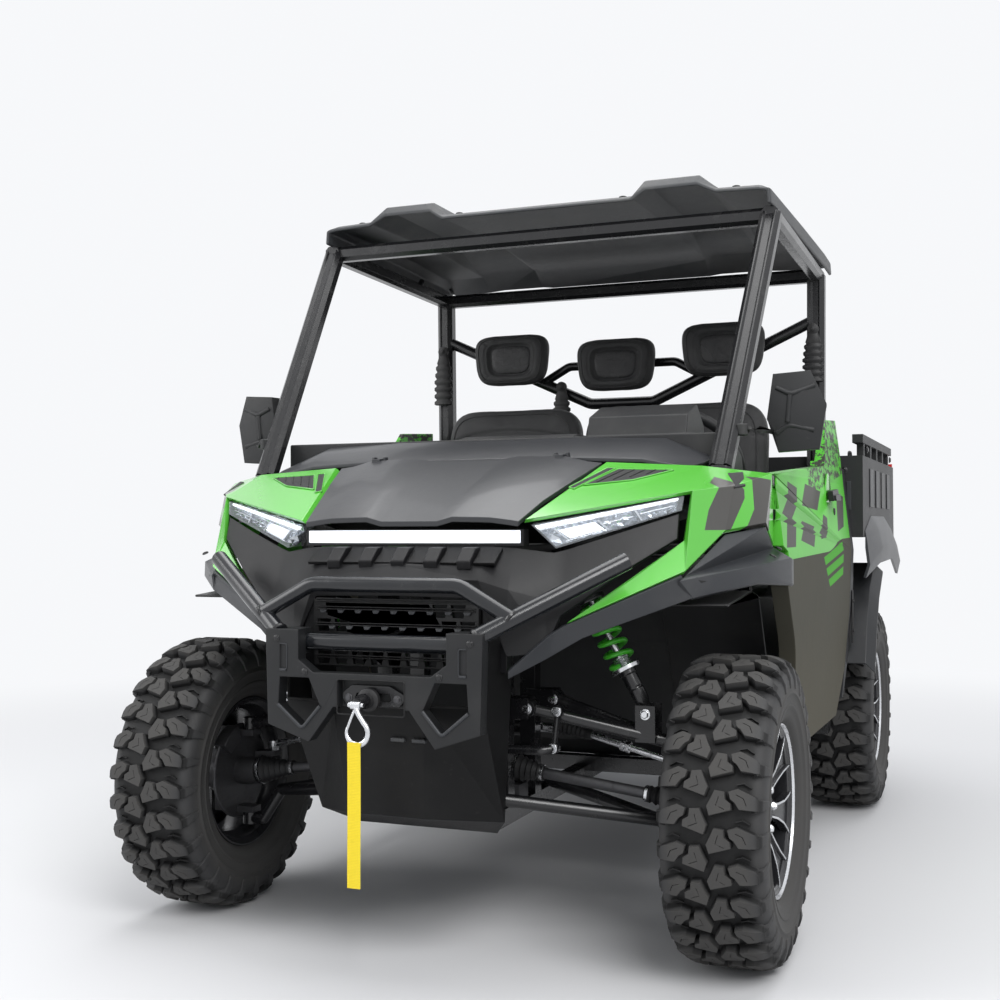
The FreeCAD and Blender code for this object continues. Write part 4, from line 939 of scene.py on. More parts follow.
def spun(profile: Sequence[tuple[float, float]], start: Point | Vector, end: Point | Vector,
         segments: int = 24) -> bmesh.types.BMesh:
    """A turned form on the line from start towards end.

    Args:
        profile: (distance from start, radius) from one end to the other; its ends are closed to the axis.
        start: where distance 0 lies.
        end: a point that the axis passes.
        segments: steps round the axis.

    Returns:
        A closed mesh, outward facing.
    """
    closed = [(profile[0][0], 0.0), *profile, (profile[-1][0], 0.0)]
    work = lathed(closed, segments)
    bmesh.ops.remove_doubles(work, verts=work.verts, dist=SAME_POINT)
    bmesh.ops.dissolve_degenerate(work, dist=NO_LENGTH, edges=work.edges)
    turn = (Vector(end) - Vector(start)).to_track_quat("X", "Z").to_matrix().to_4x4()
    bmesh.ops.transform(work, matrix=Matrix.Translation(start) @ turn, verts=work.verts)
    bmesh.ops.recalc_face_normals(work, faces=work.faces)
    return work


def bolt(place: Point, way: Point, radius: float = 0.008, head: float = 0.006) -> list[bmesh.types.BMesh]:
    """A hexagon head on its washer.

    Args:
        place: the seat of the washer.
        way: the direction in which the head stands out.
        radius: across the head's corners, halved.
        head: height of the head.

    Returns:
        Two closed work meshes.
    """
    tip = moved(place, way)
    washer = [(-0.002, radius * 1.35), (0.0010, radius * 1.35), (0.0016, radius * 1.2)]
    hexagon = [(0.0010, radius), (head * 0.8, radius), (head, radius * 0.82)]
    return [spun(washer, place, tip, 20), spun(hexagon, place, tip, 6)]


def mirrored(parts: Iterable[bmesh.types.BMesh]) -> list[bmesh.types.BMesh]:
    """Copies of work meshes on the other side of the middle plane.

    Args:
        parts: work meshes, kept.

    Returns:
        The copies, facing outwards.
    """
    copies = []
    for part in parts:
        copy = part.copy()
        bmesh.ops.scale(copy, vec=(-1, 1, 1), verts=copy.verts)
        bmesh.ops.reverse_faces(copy, faces=copy.faces)
        copies.append(copy)
    return copies


def both_sides(parts: Iterable[bmesh.types.BMesh]) -> list[bmesh.types.BMesh]:
    """Work meshes and their copies on the other side."""
    kept = list(parts)
    return kept + mirrored(kept)


def plate(outline: Sequence[Point], depth: Point) -> bmesh.types.BMesh:
    """A flat or slightly bent plate: an outline and the same outline moved by depth."""
    return lofted([[tuple(point) for point in outline], [moved(point, depth) for point in outline]])


def rounded_loop(corners: Sequence[Point], radius: float, steps: int = 5) -> list[Point]:
    """A closed line through corners that are turned into arcs.

    Args:
        corners: the corners in order.
        radius: distance from a corner at which its arc starts.
        steps: points on each arc.

    Returns:
        The points of the rounded loop.
    """
    line = [Vector(point) for point in corners]
    loop = []
    for index, corner in enumerate(line):
        loop += arc(line[index - 1], corner, line[(index + 1) % len(line)], radius, steps)
    return loop


def ringed(loop: Sequence[Point], radius: float, sides: int = 10) -> bmesh.types.BMesh:
    """A round cord along a closed line.

    Args:
        loop: points of the closed line.
        radius: the cord's radius.
        sides: faces round it.

    Returns:
        A closed mesh, outward facing.
    """
    points = [Vector(point) for point in loop]
    work = bmesh.new()
    rows = []
    across = (points[1] - points[0]).orthogonal().normalized()
    for index, point in enumerate(points):
        way = (points[(index + 1) % len(points)] - points[index - 1]).normalized()
        across = (across - way * across.dot(way)).normalized()
        up = way.cross(across)
        rows.append([work.verts.new(point + (across * math.cos(a) + up * math.sin(a)) * radius)
                     for a in turns(sides)])
    shift = min(range(sides), key=lambda s: (rows[0][s].co - rows[-1][0].co).length)
    for index, row in enumerate(rows):
        after = rows[(index + 1) % len(rows)]
        skew = shift if index == len(rows) - 1 else 0
        for i in range(sides):
            j = (i + 1) % sides
            work.faces.new((row[i], row[j], after[(j + skew) % sides], after[(i + skew) % sides]))
    bmesh.ops.recalc_face_normals(work, faces=work.faces)
    return work


def packed(parts: Iterable[bmesh.types.BMesh], name: str, smooth: float = 35.0) -> bpy.types.Mesh:
    """Several work meshes as one mesh, shaded smooth below an angle.

    Args:
        parts: work meshes, freed here.
        name: the mesh's name.
        smooth: degrees under which neighbouring faces shade as one.

    Returns:
        The mesh.
    """
    mesh = bpy.data.meshes.new(name)
    whole = bmesh.new()
    for part in parts:
        part.to_mesh(mesh)
        whole.from_mesh(mesh)
        part.free()
    for edge in whole.edges:
        edge.smooth = len(edge.link_faces) == 2 and edge.calc_face_angle(math.pi) < math.radians(smooth)
    for face in whole.faces:
        face.smooth = True
    whole.to_mesh(mesh)
    whole.free()
    return mesh


def finished(mesh: bpy.types.Mesh, name: str, width: float = 0.0, segments: int = 2, sharp: float = 30.0,
             cutter: bpy.types.Mesh | None = None, solver: str = "EXACT") -> bpy.types.Mesh:
    """Carve and round a mesh with modifiers.

    Args:
        mesh: the mesh to work on.
        name: the result's name.
        width: rounding width in metres, 0 for none.
        segments: faces across each rounding.
        sharp: degrees above which an edge is rounded.
        cutter: a closed mesh that is cut away first.
        solver: how the cut is worked out.

    Returns:
        The finished mesh.
    """
    holder = linked(f"{name}_holder", mesh)
    knife = None
    if cutter is not None:
        knife = linked(f"{name}_cutter", cutter)
        carve = holder.modifiers.new("carve", "BOOLEAN")
        carve.object = knife
        carve.operation = "DIFFERENCE"
        carve.solver = solver
    if width > 0:
        rounded_edges(holder, width, segments, sharp)
    result = baked(holder, name)
    if knife is not None:
        bpy.data.objects.remove(knife, do_unlink=True)
    return result


# Geometry Nodes trees


class Tree:
    """A Geometry Nodes tree with named inputs, built in the script."""

    def __init__(self, name: str, inputs: dict[str, tuple[str, Any]]) -> None:
        """Start a tree.

        Args:
            name: its name.
            inputs: input name to socket type and default.
        """
        self.group = bpy.data.node_groups.new(name, "GeometryNodeTree")
        self.keys: dict[str, str] = {}
        self.group.interface.new_socket("Geometry", in_out="INPUT", socket_type="NodeSocketGeometry")
        for label, (kind, default) in inputs.items():
            socket = self.group.interface.new_socket(label, in_out="INPUT", socket_type=kind)
            if default is not None:
                socket.default_value = default
            self.keys[label] = socket.identifier
        self.group.interface.new_socket("Geometry", in_out="OUTPUT", socket_type="NodeSocketGeometry")
        self.source = self.group.nodes.new("NodeGroupInput")
        self.sink = self.group.nodes.new("NodeGroupOutput")

    def given(self, label: str) -> bpy.types.NodeSocket:
        """The socket of a named input."""
        return self.source.outputs[label]

    def node(self, kind: str, settings: dict[str, Any] | None = None,
             sockets: dict[str | int, Any] | None = None) -> bpy.types.Node:
        """Add one node: its settings first, then its sockets' values or links.

        Args:
            kind: the node's type.
            settings: attributes of the node.
            sockets: input name or place to a value or an output socket.

        Returns:
            The node.
        """
        node = self.group.nodes.new(kind)
        for key, value in (settings or {}).items():
            setattr(node, key, value)
        for key, value in (sockets or {}).items():
            if isinstance(value, bpy.types.NodeSocket):
                self.group.links.new(value, node.inputs[key])
            else:
                node.inputs[key].default_value = value
        return node

    def close(self, geometry: bpy.types.NodeSocket) -> "Tree":
        """End with Realize Instances and Set Material; needs an input named Material.

        Args:
            geometry: the socket of the finished geometry.

        Returns:
            The tree itself.
        """
        real = self.node("GeometryNodeRealizeInstances", None, {0: geometry})
        done = self.node("GeometryNodeSetMaterial", None, {"Geometry": real.outputs[0],
                                                           "Material": self.given("Material")})
        self.group.links.new(done.outputs[0], self.sink.inputs[0])
        return self

    def run(self, base: bpy.types.Mesh, name: str, **values: Any) -> bpy.types.Mesh:
        """Evaluate the tree on a mesh.

        Args:
            base: the geometry that goes in.
            name: the result's name.
            **values: input values, with spaces of their names written as underscores.

        Returns:
            A plain mesh.
        """
        holder = linked(f"{name}_holder", base)
        modifier = holder.modifiers.new("tree", "NODES")
        modifier.node_group = self.group
        for key, value in values.items():
            modifier[self.keys[key.replace("_", " ")]] = value
        return baked(holder, name)


def repeat_tree() -> Tree:
    """Copies of the base, each turned and shifted once more than the last, then set down at a place.

    Returns:
        The tree, with inputs Count, Turn, Shift, Place and Material.
    """
    tree = Tree("repeats", {"Count": ("NodeSocketInt", 1), "Turn": ("NodeSocketVector", (0, 0, 0)),
                            "Shift": ("NodeSocketVector", (0, 0, 0)), "Place": ("NodeSocketVector", (0, 0, 0)),
                            "Material": ("NodeSocketMaterial", None)})
    index = tree.node("GeometryNodeInputIndex").outputs[0]
    shift = tree.node("ShaderNodeVectorMath", {"operation": "SCALE"}, {0: tree.given("Shift"), "Scale": index})
    turn = tree.node("ShaderNodeVectorMath", {"operation": "SCALE"}, {0: tree.given("Turn"), "Scale": index})
    spin = tree.node("FunctionNodeEulerToRotation", None, {0: turn.outputs[0]})
    points = tree.node("GeometryNodePoints", None, {"Count": tree.given("Count"), "Position": shift.outputs[0]})
    copies = tree.node("GeometryNodeInstanceOnPoints", None, {
        "Points": points.outputs[0], "Instance": tree.given("Geometry"), "Rotation": spin.outputs[0]})
    placed = tree.node("GeometryNodeTransform", None, {"Geometry": copies.outputs[0],
                                                       "Translation": tree.given("Place")})
    return tree.close(placed.outputs[0])


def coil_tree() -> Tree:
    """A wire coil that stands on its own origin along Z.

    Returns:
        The tree, with inputs Turns, Coil, Wire, Height and Material.
    """
    tree = Tree("coil", {"Turns": ("NodeSocketFloat", 6.0), "Coil": ("NodeSocketFloat", 0.03),
                         "Wire": ("NodeSocketFloat", 0.005), "Height": ("NodeSocketFloat", 0.2),
                         "Material": ("NodeSocketMaterial", None)})
    spiral = tree.node("GeometryNodeCurveSpiral", None, {
        "Resolution": 28, "Rotations": tree.given("Turns"), "Start Radius": tree.given("Coil"),
        "End Radius": tree.given("Coil"), "Height": tree.given("Height")})
    ring = tree.node("GeometryNodeCurvePrimitiveCircle", None, {"Resolution": 12, "Radius": tree.given("Wire")})
    wire = tree.node("GeometryNodeCurveToMesh", None, {"Curve": spiral.outputs[0],
                                                       "Profile Curve": ring.outputs[0], "Fill Caps": True})
    return tree.close(wire.outputs[0])


@dataclass
class Assembly:
    """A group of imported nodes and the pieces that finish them."""

    frame: dict[str, Any]
    made: list[bpy.types.Object] = field(default_factory=list)

    def node(self, name: str) -> bpy.types.Object:
        """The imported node's object."""
        return self.frame["nodes"][name]

    def dress(self, name: str, finish: Finish) -> None:
        """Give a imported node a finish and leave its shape.

        Args:
            name: the node.
            finish: its finish.
        """
        mesh = self.node(name).data
        mesh.materials.clear()
        mesh.materials.append(finish.material())
        LOG.info("%s: %s", name, finish.name)

    def soften(self, name: str, body: str, finish: Finish, width: float, segments: int = 2) -> bpy.types.Object:
        """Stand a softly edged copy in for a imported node.

        Args:
            name: the node.
            body: the body that carries it.
            finish: its finish.
            width: rounding width in metres.
            segments: faces across each rounding.

        Returns:
            The copy.
        """
        piece = shown(f"{name}_skin", softened(self.node(name), width, segments), finish, body)
        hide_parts(name)
        self.made.append(piece)
        LOG.info("%s: rounded copy in %s, %d faces", name, finish.name, len(piece.data.polygons))
        return piece

    def add(self, name: str, mesh: bpy.types.Mesh, finish: Finish, body: str) -> bpy.types.Object:
        """Show a new mesh and keep it in this assembly's list.

        Args:
            name: the piece's name.
            mesh: a mesh in the vehicle's frame.
            finish: its finish.
            body: the body that carries it.

        Returns:
            The piece.
        """
        piece = shown(name, mesh, finish, body)
        self.made.append(piece)
        LOG.info("%s: %d faces", name, len(mesh.polygons))
        return piece

    def put(self, name: str, parts: Iterable[bmesh.types.BMesh], finish: Finish, body: str = "chassis",
            width: float = 0.0, segments: int = 2, smooth: float = 35.0) -> bpy.types.Object:
        """Show work meshes as one new piece.

        Args:
            name: the piece's name.
            parts: work meshes, freed here.
            finish: the piece's finish.
            body: the body that carries it.
            width: rounding width in metres, 0 for none.
            segments: faces across each rounding.
            smooth: degrees under which neighbouring faces shade as one.

        Returns:
            The piece.
        """
        mesh = packed(parts, name, smooth)
        if width:
            mesh = finished(mesh, name, width, segments)
        return self.add(name, mesh, finish, body)

    def build(self) -> None:
        """Make and dress every piece of the assembly."""
        raise NotImplementedError


@dataclass
class Wheel(Assembly):
    """One wheel: lugged tyre, spoked rim, hub cap and nuts."""

    corner: str = "front_left"
    side: Side = Side.LEFT
    half: float = 0.1145
    rim_half: float = 0.089
    radius: float = WHEEL_RADIUS
    drawn_half: float = 0.1145
    lug_share: float = 0.97
    crown_drop: float = 0.0235
    crown_start: float = 0.52
    groove: float = 0.0205
    rows: int = 28
    draft: float = 0.0022
    sipe: float = 0.0011
    flange: float = 0.192
    bead: float = 0.178
    hub: float = 0.058
    dish: float = 0.034
    spokes: int = 7
    repeats: Tree | None = None

    @property
    def body(self) -> str:
        """The body that the wheel turns with."""
        return f"wheel_{self.corner}"

    @property
    def centre(self) -> Point:
        """The wheel's middle."""
        low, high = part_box(f"tyre_{self.corner}")
        return ((low.x + high.x) / 2, (low.y + high.y) / 2, self.radius)

    def crown(self, x: float) -> float:
        """Radius of the lug tops at a distance x from the tyre's middle."""
        past = abs(x) / self.half - self.crown_start
        return self.radius - self.crown_drop * max(0.0, past / (1 - self.crown_start)) ** 2

    def wrapped(self, x: float, along: float, radius: float) -> Point:
        """A point of the tread, from its place on the unrolled tyre."""
        turn = along / self.radius
        return (x, radius * math.sin(turn), radius * math.cos(turn))

    def lug(self, outline: Sequence[tuple[float, float]], way: int, shift: float) -> bmesh.types.BMesh:
        """One tread lug with sloping sides.

        Args:
            outline: corners as (across, along) in metres, on a tyre of drawn_half.
            way: 1 for the half towards +X, -1 for the other.
            shift: how far along the tread it stands.

        Returns:
            A closed work mesh.
        """
        stretch = self.half / self.drawn_half
        home_x, home_v = (sum(values) / len(outline) for values in zip(*outline))
        outline = [(home_x + (x - home_x) * self.lug_share, home_v + (v - home_v) * self.lug_share)
                   for x, v in outline]
        corners = [(way * x * stretch, v + shift) for x, v in outline]
        middle_x = sum(x for x, _ in corners) / len(corners)
        middle_v = sum(v for _, v in corners) / len(corners)
        work = bmesh.new()
        work.faces.new([work.verts.new((x, v, 0)) for x, v in corners])
        for cut in (0.035, 0.055, 0.072, 0.086, 0.098):
            bmesh.ops.bisect_plane(work, geom=work.verts[:] + work.edges[:] + work.faces[:],
                                   plane_co=(way * cut * stretch, 0, 0), plane_no=(1, 0, 0), dist=1e-5)
        grown = bmesh.ops.extrude_face_region(work, geom=work.faces[:])
        tops = {item for item in grown["geom"] if isinstance(item, bmesh.types.BMVert)}
        for vert in work.verts:
            x, v = vert.co.x, vert.co.y
            if vert in tops:
                vert.co = self.wrapped(x, v, self.crown(x))
            else:
                spread = Vector((x - middle_x, v - middle_v))
                spread = spread.normalized() * self.draft if spread.length > 1e-6 else spread
                vert.co = self.wrapped(x + spread.x, v + spread.y, self.crown(x) - self.groove - 0.004)
        bmesh.ops.recalc_face_normals(work, faces=work.faces)
        return work

    def slit(self, line: Sequence[tuple[float, float]], way: int, shift: float, depth: float,
             width: float) -> list[bmesh.types.BMesh]:
        """Thin bars along a line of the unrolled tread.

        Args:
            line: (across, along) points in metres, on a tyre of drawn_half.
            way: 1 for the half towards +X, -1 for the other.
            shift: how far along the tread they stand.
            depth: how far below the lug tops they begin; beyond 10 mm they are ribs of 6 mm on the tread's floor.
            width: the bars' width.

        Returns:
            Closed work meshes, one for each stretch of the line.
        """
        stretch = self.half / self.drawn_half
        bars = []
        for (x0, v0), (x1, v1) in zip(line, line[1:]):
            along = Vector((x1 - x0, v1 - v0)).normalized() * width * 0.5
            side = Vector((-along.y, along.x))
            points = []
            for (x, v), push in (((x0, v0), -1), ((x1, v1), 1)):
                for way_out in (-1, 1):
                    px = way * stretch * (x + along.x * push + side.x * way_out)
                    pv = v + along.y * push + side.y * way_out + shift
                    top = self.crown(px)
                    for radius in (top - depth, top + 0.004) if depth < 0.01 else (top - depth, top - depth - 0.006):
                        points.append(self.wrapped(px, pv, radius))
            bars.append(hulled(points))
        return bars

    def side_block(self, way: int, shift: float, reach: float) -> bmesh.types.BMesh:
        """A block that wraps over the shoulder and runs down the side wall.

        Args:
            way: 1 for the side towards +X.
            shift: how far along the tread it stands.
            reach: radius at which it ends.

        Returns:
            A closed work mesh.
        """
        h = self.half
        line = [(h - 0.0165, self.crown(h - 0.0165) - 0.001), (h - 0.0055, self.radius - 0.0265),
                (h + 0.0005, self.radius - 0.046), (h + 0.0010, reach)]
        rings = []
        for place, (x, r) in enumerate(line):
            wide = (0.0125, 0.0115, 0.0095, 0.0065)[place]
            deep = 0.010 if place < 3 else 0.004
            lean = (0.0, 0.003, 0.007, 0.011)[place]
            rings.append([self.wrapped(way * (x - back), shift + lean + v, r - back * 0.6)
                          for back, v in ((0, -wide), (0, wide), (deep, wide + 0.002), (deep, -wide - 0.002))])
        return lofted(rings)

    def tread(self) -> bpy.types.Mesh:
        """Every lug of one pitch, carved and rounded, ready to be repeated."""
        inner = [(-0.001, -0.008), (0.005, -0.027), (0.050, -0.013), (0.049, 0.000), (0.037, 0.008), (0.035, 0.024),
                 (0.015, 0.026), (0.007, 0.008)]
        outer = [(0.043, 0.024), (0.062, 0.031), (0.097, 0.017), (0.1035, 0.006), (0.1035, -0.013), (0.066, -0.011),
                 (0.056, 0.003), (0.047, 0.009)]
        lugs, slits, blocks = [], [], []
        pitch = 2 * math.pi * self.radius / self.rows
        for way, shift in ((1, 0.0), (-1, pitch / 2)):
            lugs += [self.lug(inner, way, shift), self.lug(outer, way, shift)]
            slits += self.slit([(0.024, 0.012), (0.019, -0.005), (0.036, -0.012)], way, shift, 0.004, self.sipe)
            slits += self.slit([(0.060, 0.018), (0.074, 0.012), (0.080, -0.002)], way, shift, 0.004, self.sipe)
            blocks.append(self.side_block(way, shift - 0.003, self.radius - 0.070))
            blocks += self.slit([(0.058, 0.040), (0.072, 0.044), (0.086, 0.036)], way, shift, 0.0135, 0.0026)
        cut = packed(slits, "tread_slits")
        carved = finished(packed(lugs, "tread_lugs"), "tread_carved", 0.0011, 2, 32.0, cut, "MANIFOLD")
        rest = finished(packed(blocks, "tread_blocks"), "tread_sides", 0.0010, 2, 32.0)
        whole = bmesh.new()
        for mesh in (carved, rest):
            whole.from_mesh(mesh)
        return meshed(whole, "tread_pitch")

    def carcass(self) -> bpy.types.Mesh:
        """The tyre under its lugs: tread base, shoulders, side walls with rings, and beads."""
        h, r, seat = self.half, self.radius, self.rim_half
        half_line = [(0.0, r - 0.0205), (h * 0.45, r - 0.0215), (h * 0.70, r - 0.0245), (h * 0.86, r - 0.0315),
                     (h * 0.94, r - 0.0400), (h * 0.975, r - 0.0540), (h * 0.985, r - 0.0700), (h * 0.985, r - 0.0780),
                     (h * 0.998, r - 0.0795), (h * 0.998, r - 0.0835), (h * 0.982, r - 0.0850), (h * 0.965, r - 0.0990),
                     (h * 0.950, r - 0.1080), (h * 0.962, r - 0.1095), (h * 0.955, r - 0.1150), (h * 0.930, r - 0.1180),
                     (h * 0.905, r - 0.1290), (h * 0.870, r - 0.1390), (seat + 0.004, self.flange + 0.006),
                     (seat - 0.001, self.flange + 0.003), (seat - 0.012, self.flange - 0.008)]
        line = half_line + [(seat - 0.020, self.flange - 0.004), (h * 0.80, r - 0.110), (h * 0.78, r - 0.045)]
        closed = [*line, (0.0, r - 0.032)] + [(-x, q) for x, q in reversed(line[1:])]
        return packed([lathed(closed, 120, self.centre)], f"{self.corner}_carcass", 50.0)

    def tyre(self) -> None:
        """Carcass and tread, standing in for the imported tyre."""
        name = f"tyre_{self.corner}"
        carcass = self.add(f"{name}_carcass", self.carcass(), TYRE_RUBBER, self.body)
        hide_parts(name)
        lugs = self.repeats.run(self.tread(), f"{name}_tread", Count=self.rows,
                                Turn=(2 * math.pi / self.rows, 0.0, 0.0), Place=self.centre,
                                Material=TYRE_RUBBER.material())
        self.add(f"{name}_tread", lugs, TYRE_RUBBER, self.body)

    def spoke(self) -> tuple[bpy.types.Mesh, bpy.types.Mesh]:
        """One spoke with a sunk middle, and the machined lands on its two edges."""
        way = self.side.value
        face = self.rim_half
        # Radius, half width, outboard face
        stations = [(0.040, 0.014, face - 0.036), (0.070, 0.016, face - 0.030), (0.100, 0.0185, face - 0.022),
                    (0.135, 0.0275, face - 0.014), (0.163, 0.042, face - 0.009), (0.1755, 0.050, face - 0.008)]
        rings, lands = [], [[], []]
        for r, wide, x in stations:
            land = min(0.0055, wide * 0.3)
            section = [(x - 0.020, -wide), (x, -wide), (x, land - wide), (x - 0.009, land + 0.003 - wide),
                       (x - 0.009, wide - land - 0.003), (x, wide - land), (x, wide), (x - 0.020, wide)]
            rings.append([(way * px, pv, r) for px, pv in section])
            for index, sign in enumerate((-1, 1)):
                lands[index].append([(way * (x + 0.0004), sign * (wide + 0.0002), r),
                                     (way * (x + 0.0004), sign * (wide - land + 0.0008), r),
                                     (way * (x - 0.0012), sign * (wide - land + 0.0008), r),
                                     (way * (x - 0.0012), sign * (wide + 0.0002), r)])
        black = finished(packed([lofted(rings)], "spoke"), "spoke_black", 0.0012, 2)
        bright = packed([lofted(row[1:]) for row in lands], "spoke_lands")
        return black, bright

    def rim(self) -> None:
        """Barrel, spokes, machined lip, hub cap and nuts."""
        name, way, f = f"rim_{self.corner}", self.side.value, self.rim_half
        line = [(-f, self.flange), (-f + 0.004, self.flange + 0.001), (-f + 0.009, self.flange - 0.004),
                (-f + 0.011, self.bead), (-f + 0.040, self.bead - 0.002), (-f + 0.052, self.bead - 0.014),
                (f - 0.060, self.bead - 0.014), (f - 0.048, self.bead - 0.001), (f - 0.011, self.bead),
                (f - 0.009, self.flange - 0.004), (f - 0.004, self.flange + 0.001), (f, self.flange),
                (f, self.flange - 0.004), (f - 0.006, self.flange - 0.007), (f - 0.014, self.bead - 0.005),
                (f - 0.045, self.bead - 0.006), (f - 0.058, self.bead - 0.019), (-f + 0.054, self.bead - 0.019),
                (-f + 0.040, self.bead - 0.007), (-f + 0.014, self.bead - 0.006), (-f + 0.006, self.flange - 0.008),
                (-f, self.flange - 0.005)]
        barrel = packed([lathed([(way * x, r) for x, r in line], 96, self.centre)], f"{name}_barrel", 40.0)
        piece = self.add(f"{name}_barrel", barrel, RIM_BLACK, self.body)
        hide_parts(name)
        lip = [(-0.0016, 0.0006), (0.0008, -0.0004), (0.0008, -0.0046), (-0.0050, -0.0078), (-0.0056, -0.0070),
               (-0.0004, -0.004)]
        bright = [lathed([(way * (f + x), self.flange + r) for x, r in lip], 96, self.centre)]
        self.put(f"{name}_lip", bright, MACHINED, self.body, smooth=40.0)
        black, lands = self.spoke()
        step = (2 * math.pi / self.spokes, 0.0, 0.0)
        for mesh, word, finish in ((black, "spokes", RIM_BLACK), (lands, "lands", MACHINED)):
            made = self.repeats.run(mesh, f"{name}_{word}", Count=self.spokes, Turn=step, Place=self.centre,
                                    Material=finish.material())
            self.add(f"{name}_{word}", made, finish, self.body)
        face = f - 0.034
        cap = [(face - 0.050, 0.0), (face - 0.050, 0.055), (face - 0.004, 0.060), (face + 0.002, 0.052),
               (face + 0.002, 0.034), (face + 0.010, 0.031), (face + 0.013, 0.026), (face + 0.014, 0.0)]
        hub = packed([lathed([(way * x, r) for x, r in cap], 48, self.centre)], f"{name}_hub", 40.0)
        self.add(f"{name}_hub", without_seam(hub), RIM_BLACK, self.body)
        nut = [(face, 0.0), (face, 0.0105), (face + 0.012, 0.0105), (face + 0.019, 0.006), (face + 0.020, 0.0)]
        nut_mesh = packed([lathed([(way * x, r) for x, r in nut], 6, (0, 0, 0.043))], "nut", 30.0)
        nuts = self.repeats.run(without_seam(nut_mesh), f"{name}_nuts", Count=4, Turn=(math.pi / 2, 0.0, 0.0),
                                Place=self.centre, Material=BRIGHT.material())
        self.add(f"{name}_nuts", nuts, BRIGHT, self.body)

    def build(self) -> None:
        """Make the tyre and the rim."""
        self.tyre()
        self.rim()


def without_seam(mesh: bpy.types.Mesh) -> bpy.types.Mesh:
    """Merge the points that a turned line leaves on its axis.

    Args:
        mesh: the turned mesh.

    Returns:
        The same mesh.
    """
    work = bmesh.new()
    work.from_mesh(mesh)
    bmesh.ops.remove_doubles(work, verts=work.verts, dist=SAME_POINT)
    bmesh.ops.dissolve_degenerate(work, dist=NO_LENGTH, edges=work.edges)
    bmesh.ops.recalc_face_normals(work, faces=work.faces)
    work.to_mesh(mesh)
    work.free()
    return mesh


@dataclass
class Shock(Assembly):
    """The four spring legs: damper, bright collar, green coil and eyes."""

    coils: Tree | None = None
    spring_radius: float = 0.0355
    wire: float = 0.0062
    coil_turns: float = 5.6
    seat_share: float = 0.36
    cup_share: float = 0.88

    def leg(self, foot: Point, top: Point) -> dict[str, list[bmesh.types.BMesh]]:
        """The parts of one leg, sorted by finish.

        Args:
            foot: centre of the lower eye.
            top: centre of the upper eye.

        Returns:
            Work meshes by the word of their finish.
        """
        length = (Vector(top) - Vector(foot)).length
        seat, cup = length * self.seat_share, length * self.cup_share
        damper = [(0.010, 0.012), (0.022, 0.014), (0.034, 0.0185), (0.060, 0.0190), (0.062, 0.0176), (0.066, 0.0176),
                  (0.068, 0.0190), (seat - 0.022, 0.0190), (seat - 0.020, 0.0215), (seat - 0.008, 0.0215)]
        threads = [(seat - 0.006 + 0.0022 * step, 0.0205 if step % 2 else 0.0188) for step in range(14)]
        stem = [(seat, 0.0085), (cup, 0.0085), (length - 0.012, 0.011)]
        stop = [(length * 0.66, 0.010), (length * 0.665, 0.017), (length * 0.70, 0.014), (length * 0.735, 0.019),
                (length * 0.78, 0.015), (length * 0.81, 0.010)]
        wide = self.spring_radius
        collar = [(seat - 0.010, 0.0210), (seat - 0.010, wide), (seat - 0.001, wide + 0.0005),
                  (seat + 0.001, wide - 0.002), (seat + 0.001, 0.0205)]
        lid = [(cup - 0.004, wide - 0.002), (cup, wide), (cup + 0.006, wide), (cup + 0.010, 0.020),
               (length - 0.016, 0.014)]
        parts = {"dark": [spun(damper, foot, top), spun(lid, foot, top), spun(stop, foot, top)],
                 "bright": [spun(collar, foot, top, 32), spun(threads, foot, top), spun(stem, foot, top, 16)]}
        for eye in (foot, top):
            left, right = (eye[0], eye[1] - 0.0205, eye[2]), (eye[0], eye[1] + 0.0205, eye[2])
            parts["dark"].append(spun([(0.0, 0.014), (0.002, 0.0165), (0.039, 0.0165), (0.041, 0.014)], left, right))
        return parts

    def build(self) -> None:
        """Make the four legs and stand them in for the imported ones."""
        sets: dict[str, list[bmesh.types.BMesh]] = {"dark": [], "bright": []}
        springs = bmesh.new()
        holder = bpy.data.meshes.new("coil_seed")
        for foot, top in ((at(0.476, 0, 0.545), at(0.318, 0, 0.838)),
                          (at(0.476, WHEELBASE, 0.545), at(0.330, WHEELBASE, 0.820))):
            for word, parts in self.leg(foot, top).items():
                sets[word] += both_sides(parts)
            length = (Vector(top) - Vector(foot)).length
            coil = self.coils.run(holder.copy(), "spring", Turns=self.coil_turns, Coil=self.spring_radius - self.wire,
                                  Wire=self.wire, Height=length * 0.50, Material=SPRING_GREEN.material())
            base = Vector(foot).lerp(Vector(top), 0.37)
            turn = (Vector(top) - Vector(foot)).to_track_quat("Z", "Y").to_matrix().to_4x4()
            for way in (1, -1):
                work = bmesh.new()
                work.from_mesh(coil)
                bmesh.ops.transform(work, matrix=Matrix.Translation(base) @ turn, verts=work.verts)
                if way < 0:
                    bmesh.ops.scale(work, vec=(-1, 1, 1), verts=work.verts)
                bmesh.ops.recalc_face_normals(work, faces=work.faces)
                springs.from_mesh(meshed(work, "spring_copy"))
        green = self.put("shock_springs", [springs], SPRING_GREEN, smooth=60.0)
        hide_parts("shocks")
        dampers = finished(packed(sets["dark"], "dampers"), "dampers", 0.0006, 2, 40.0)
        self.add("shock_dampers", dampers, BLACK_STEEL, "chassis")
        self.put("shock_collars", sets["bright"], BRIGHT)


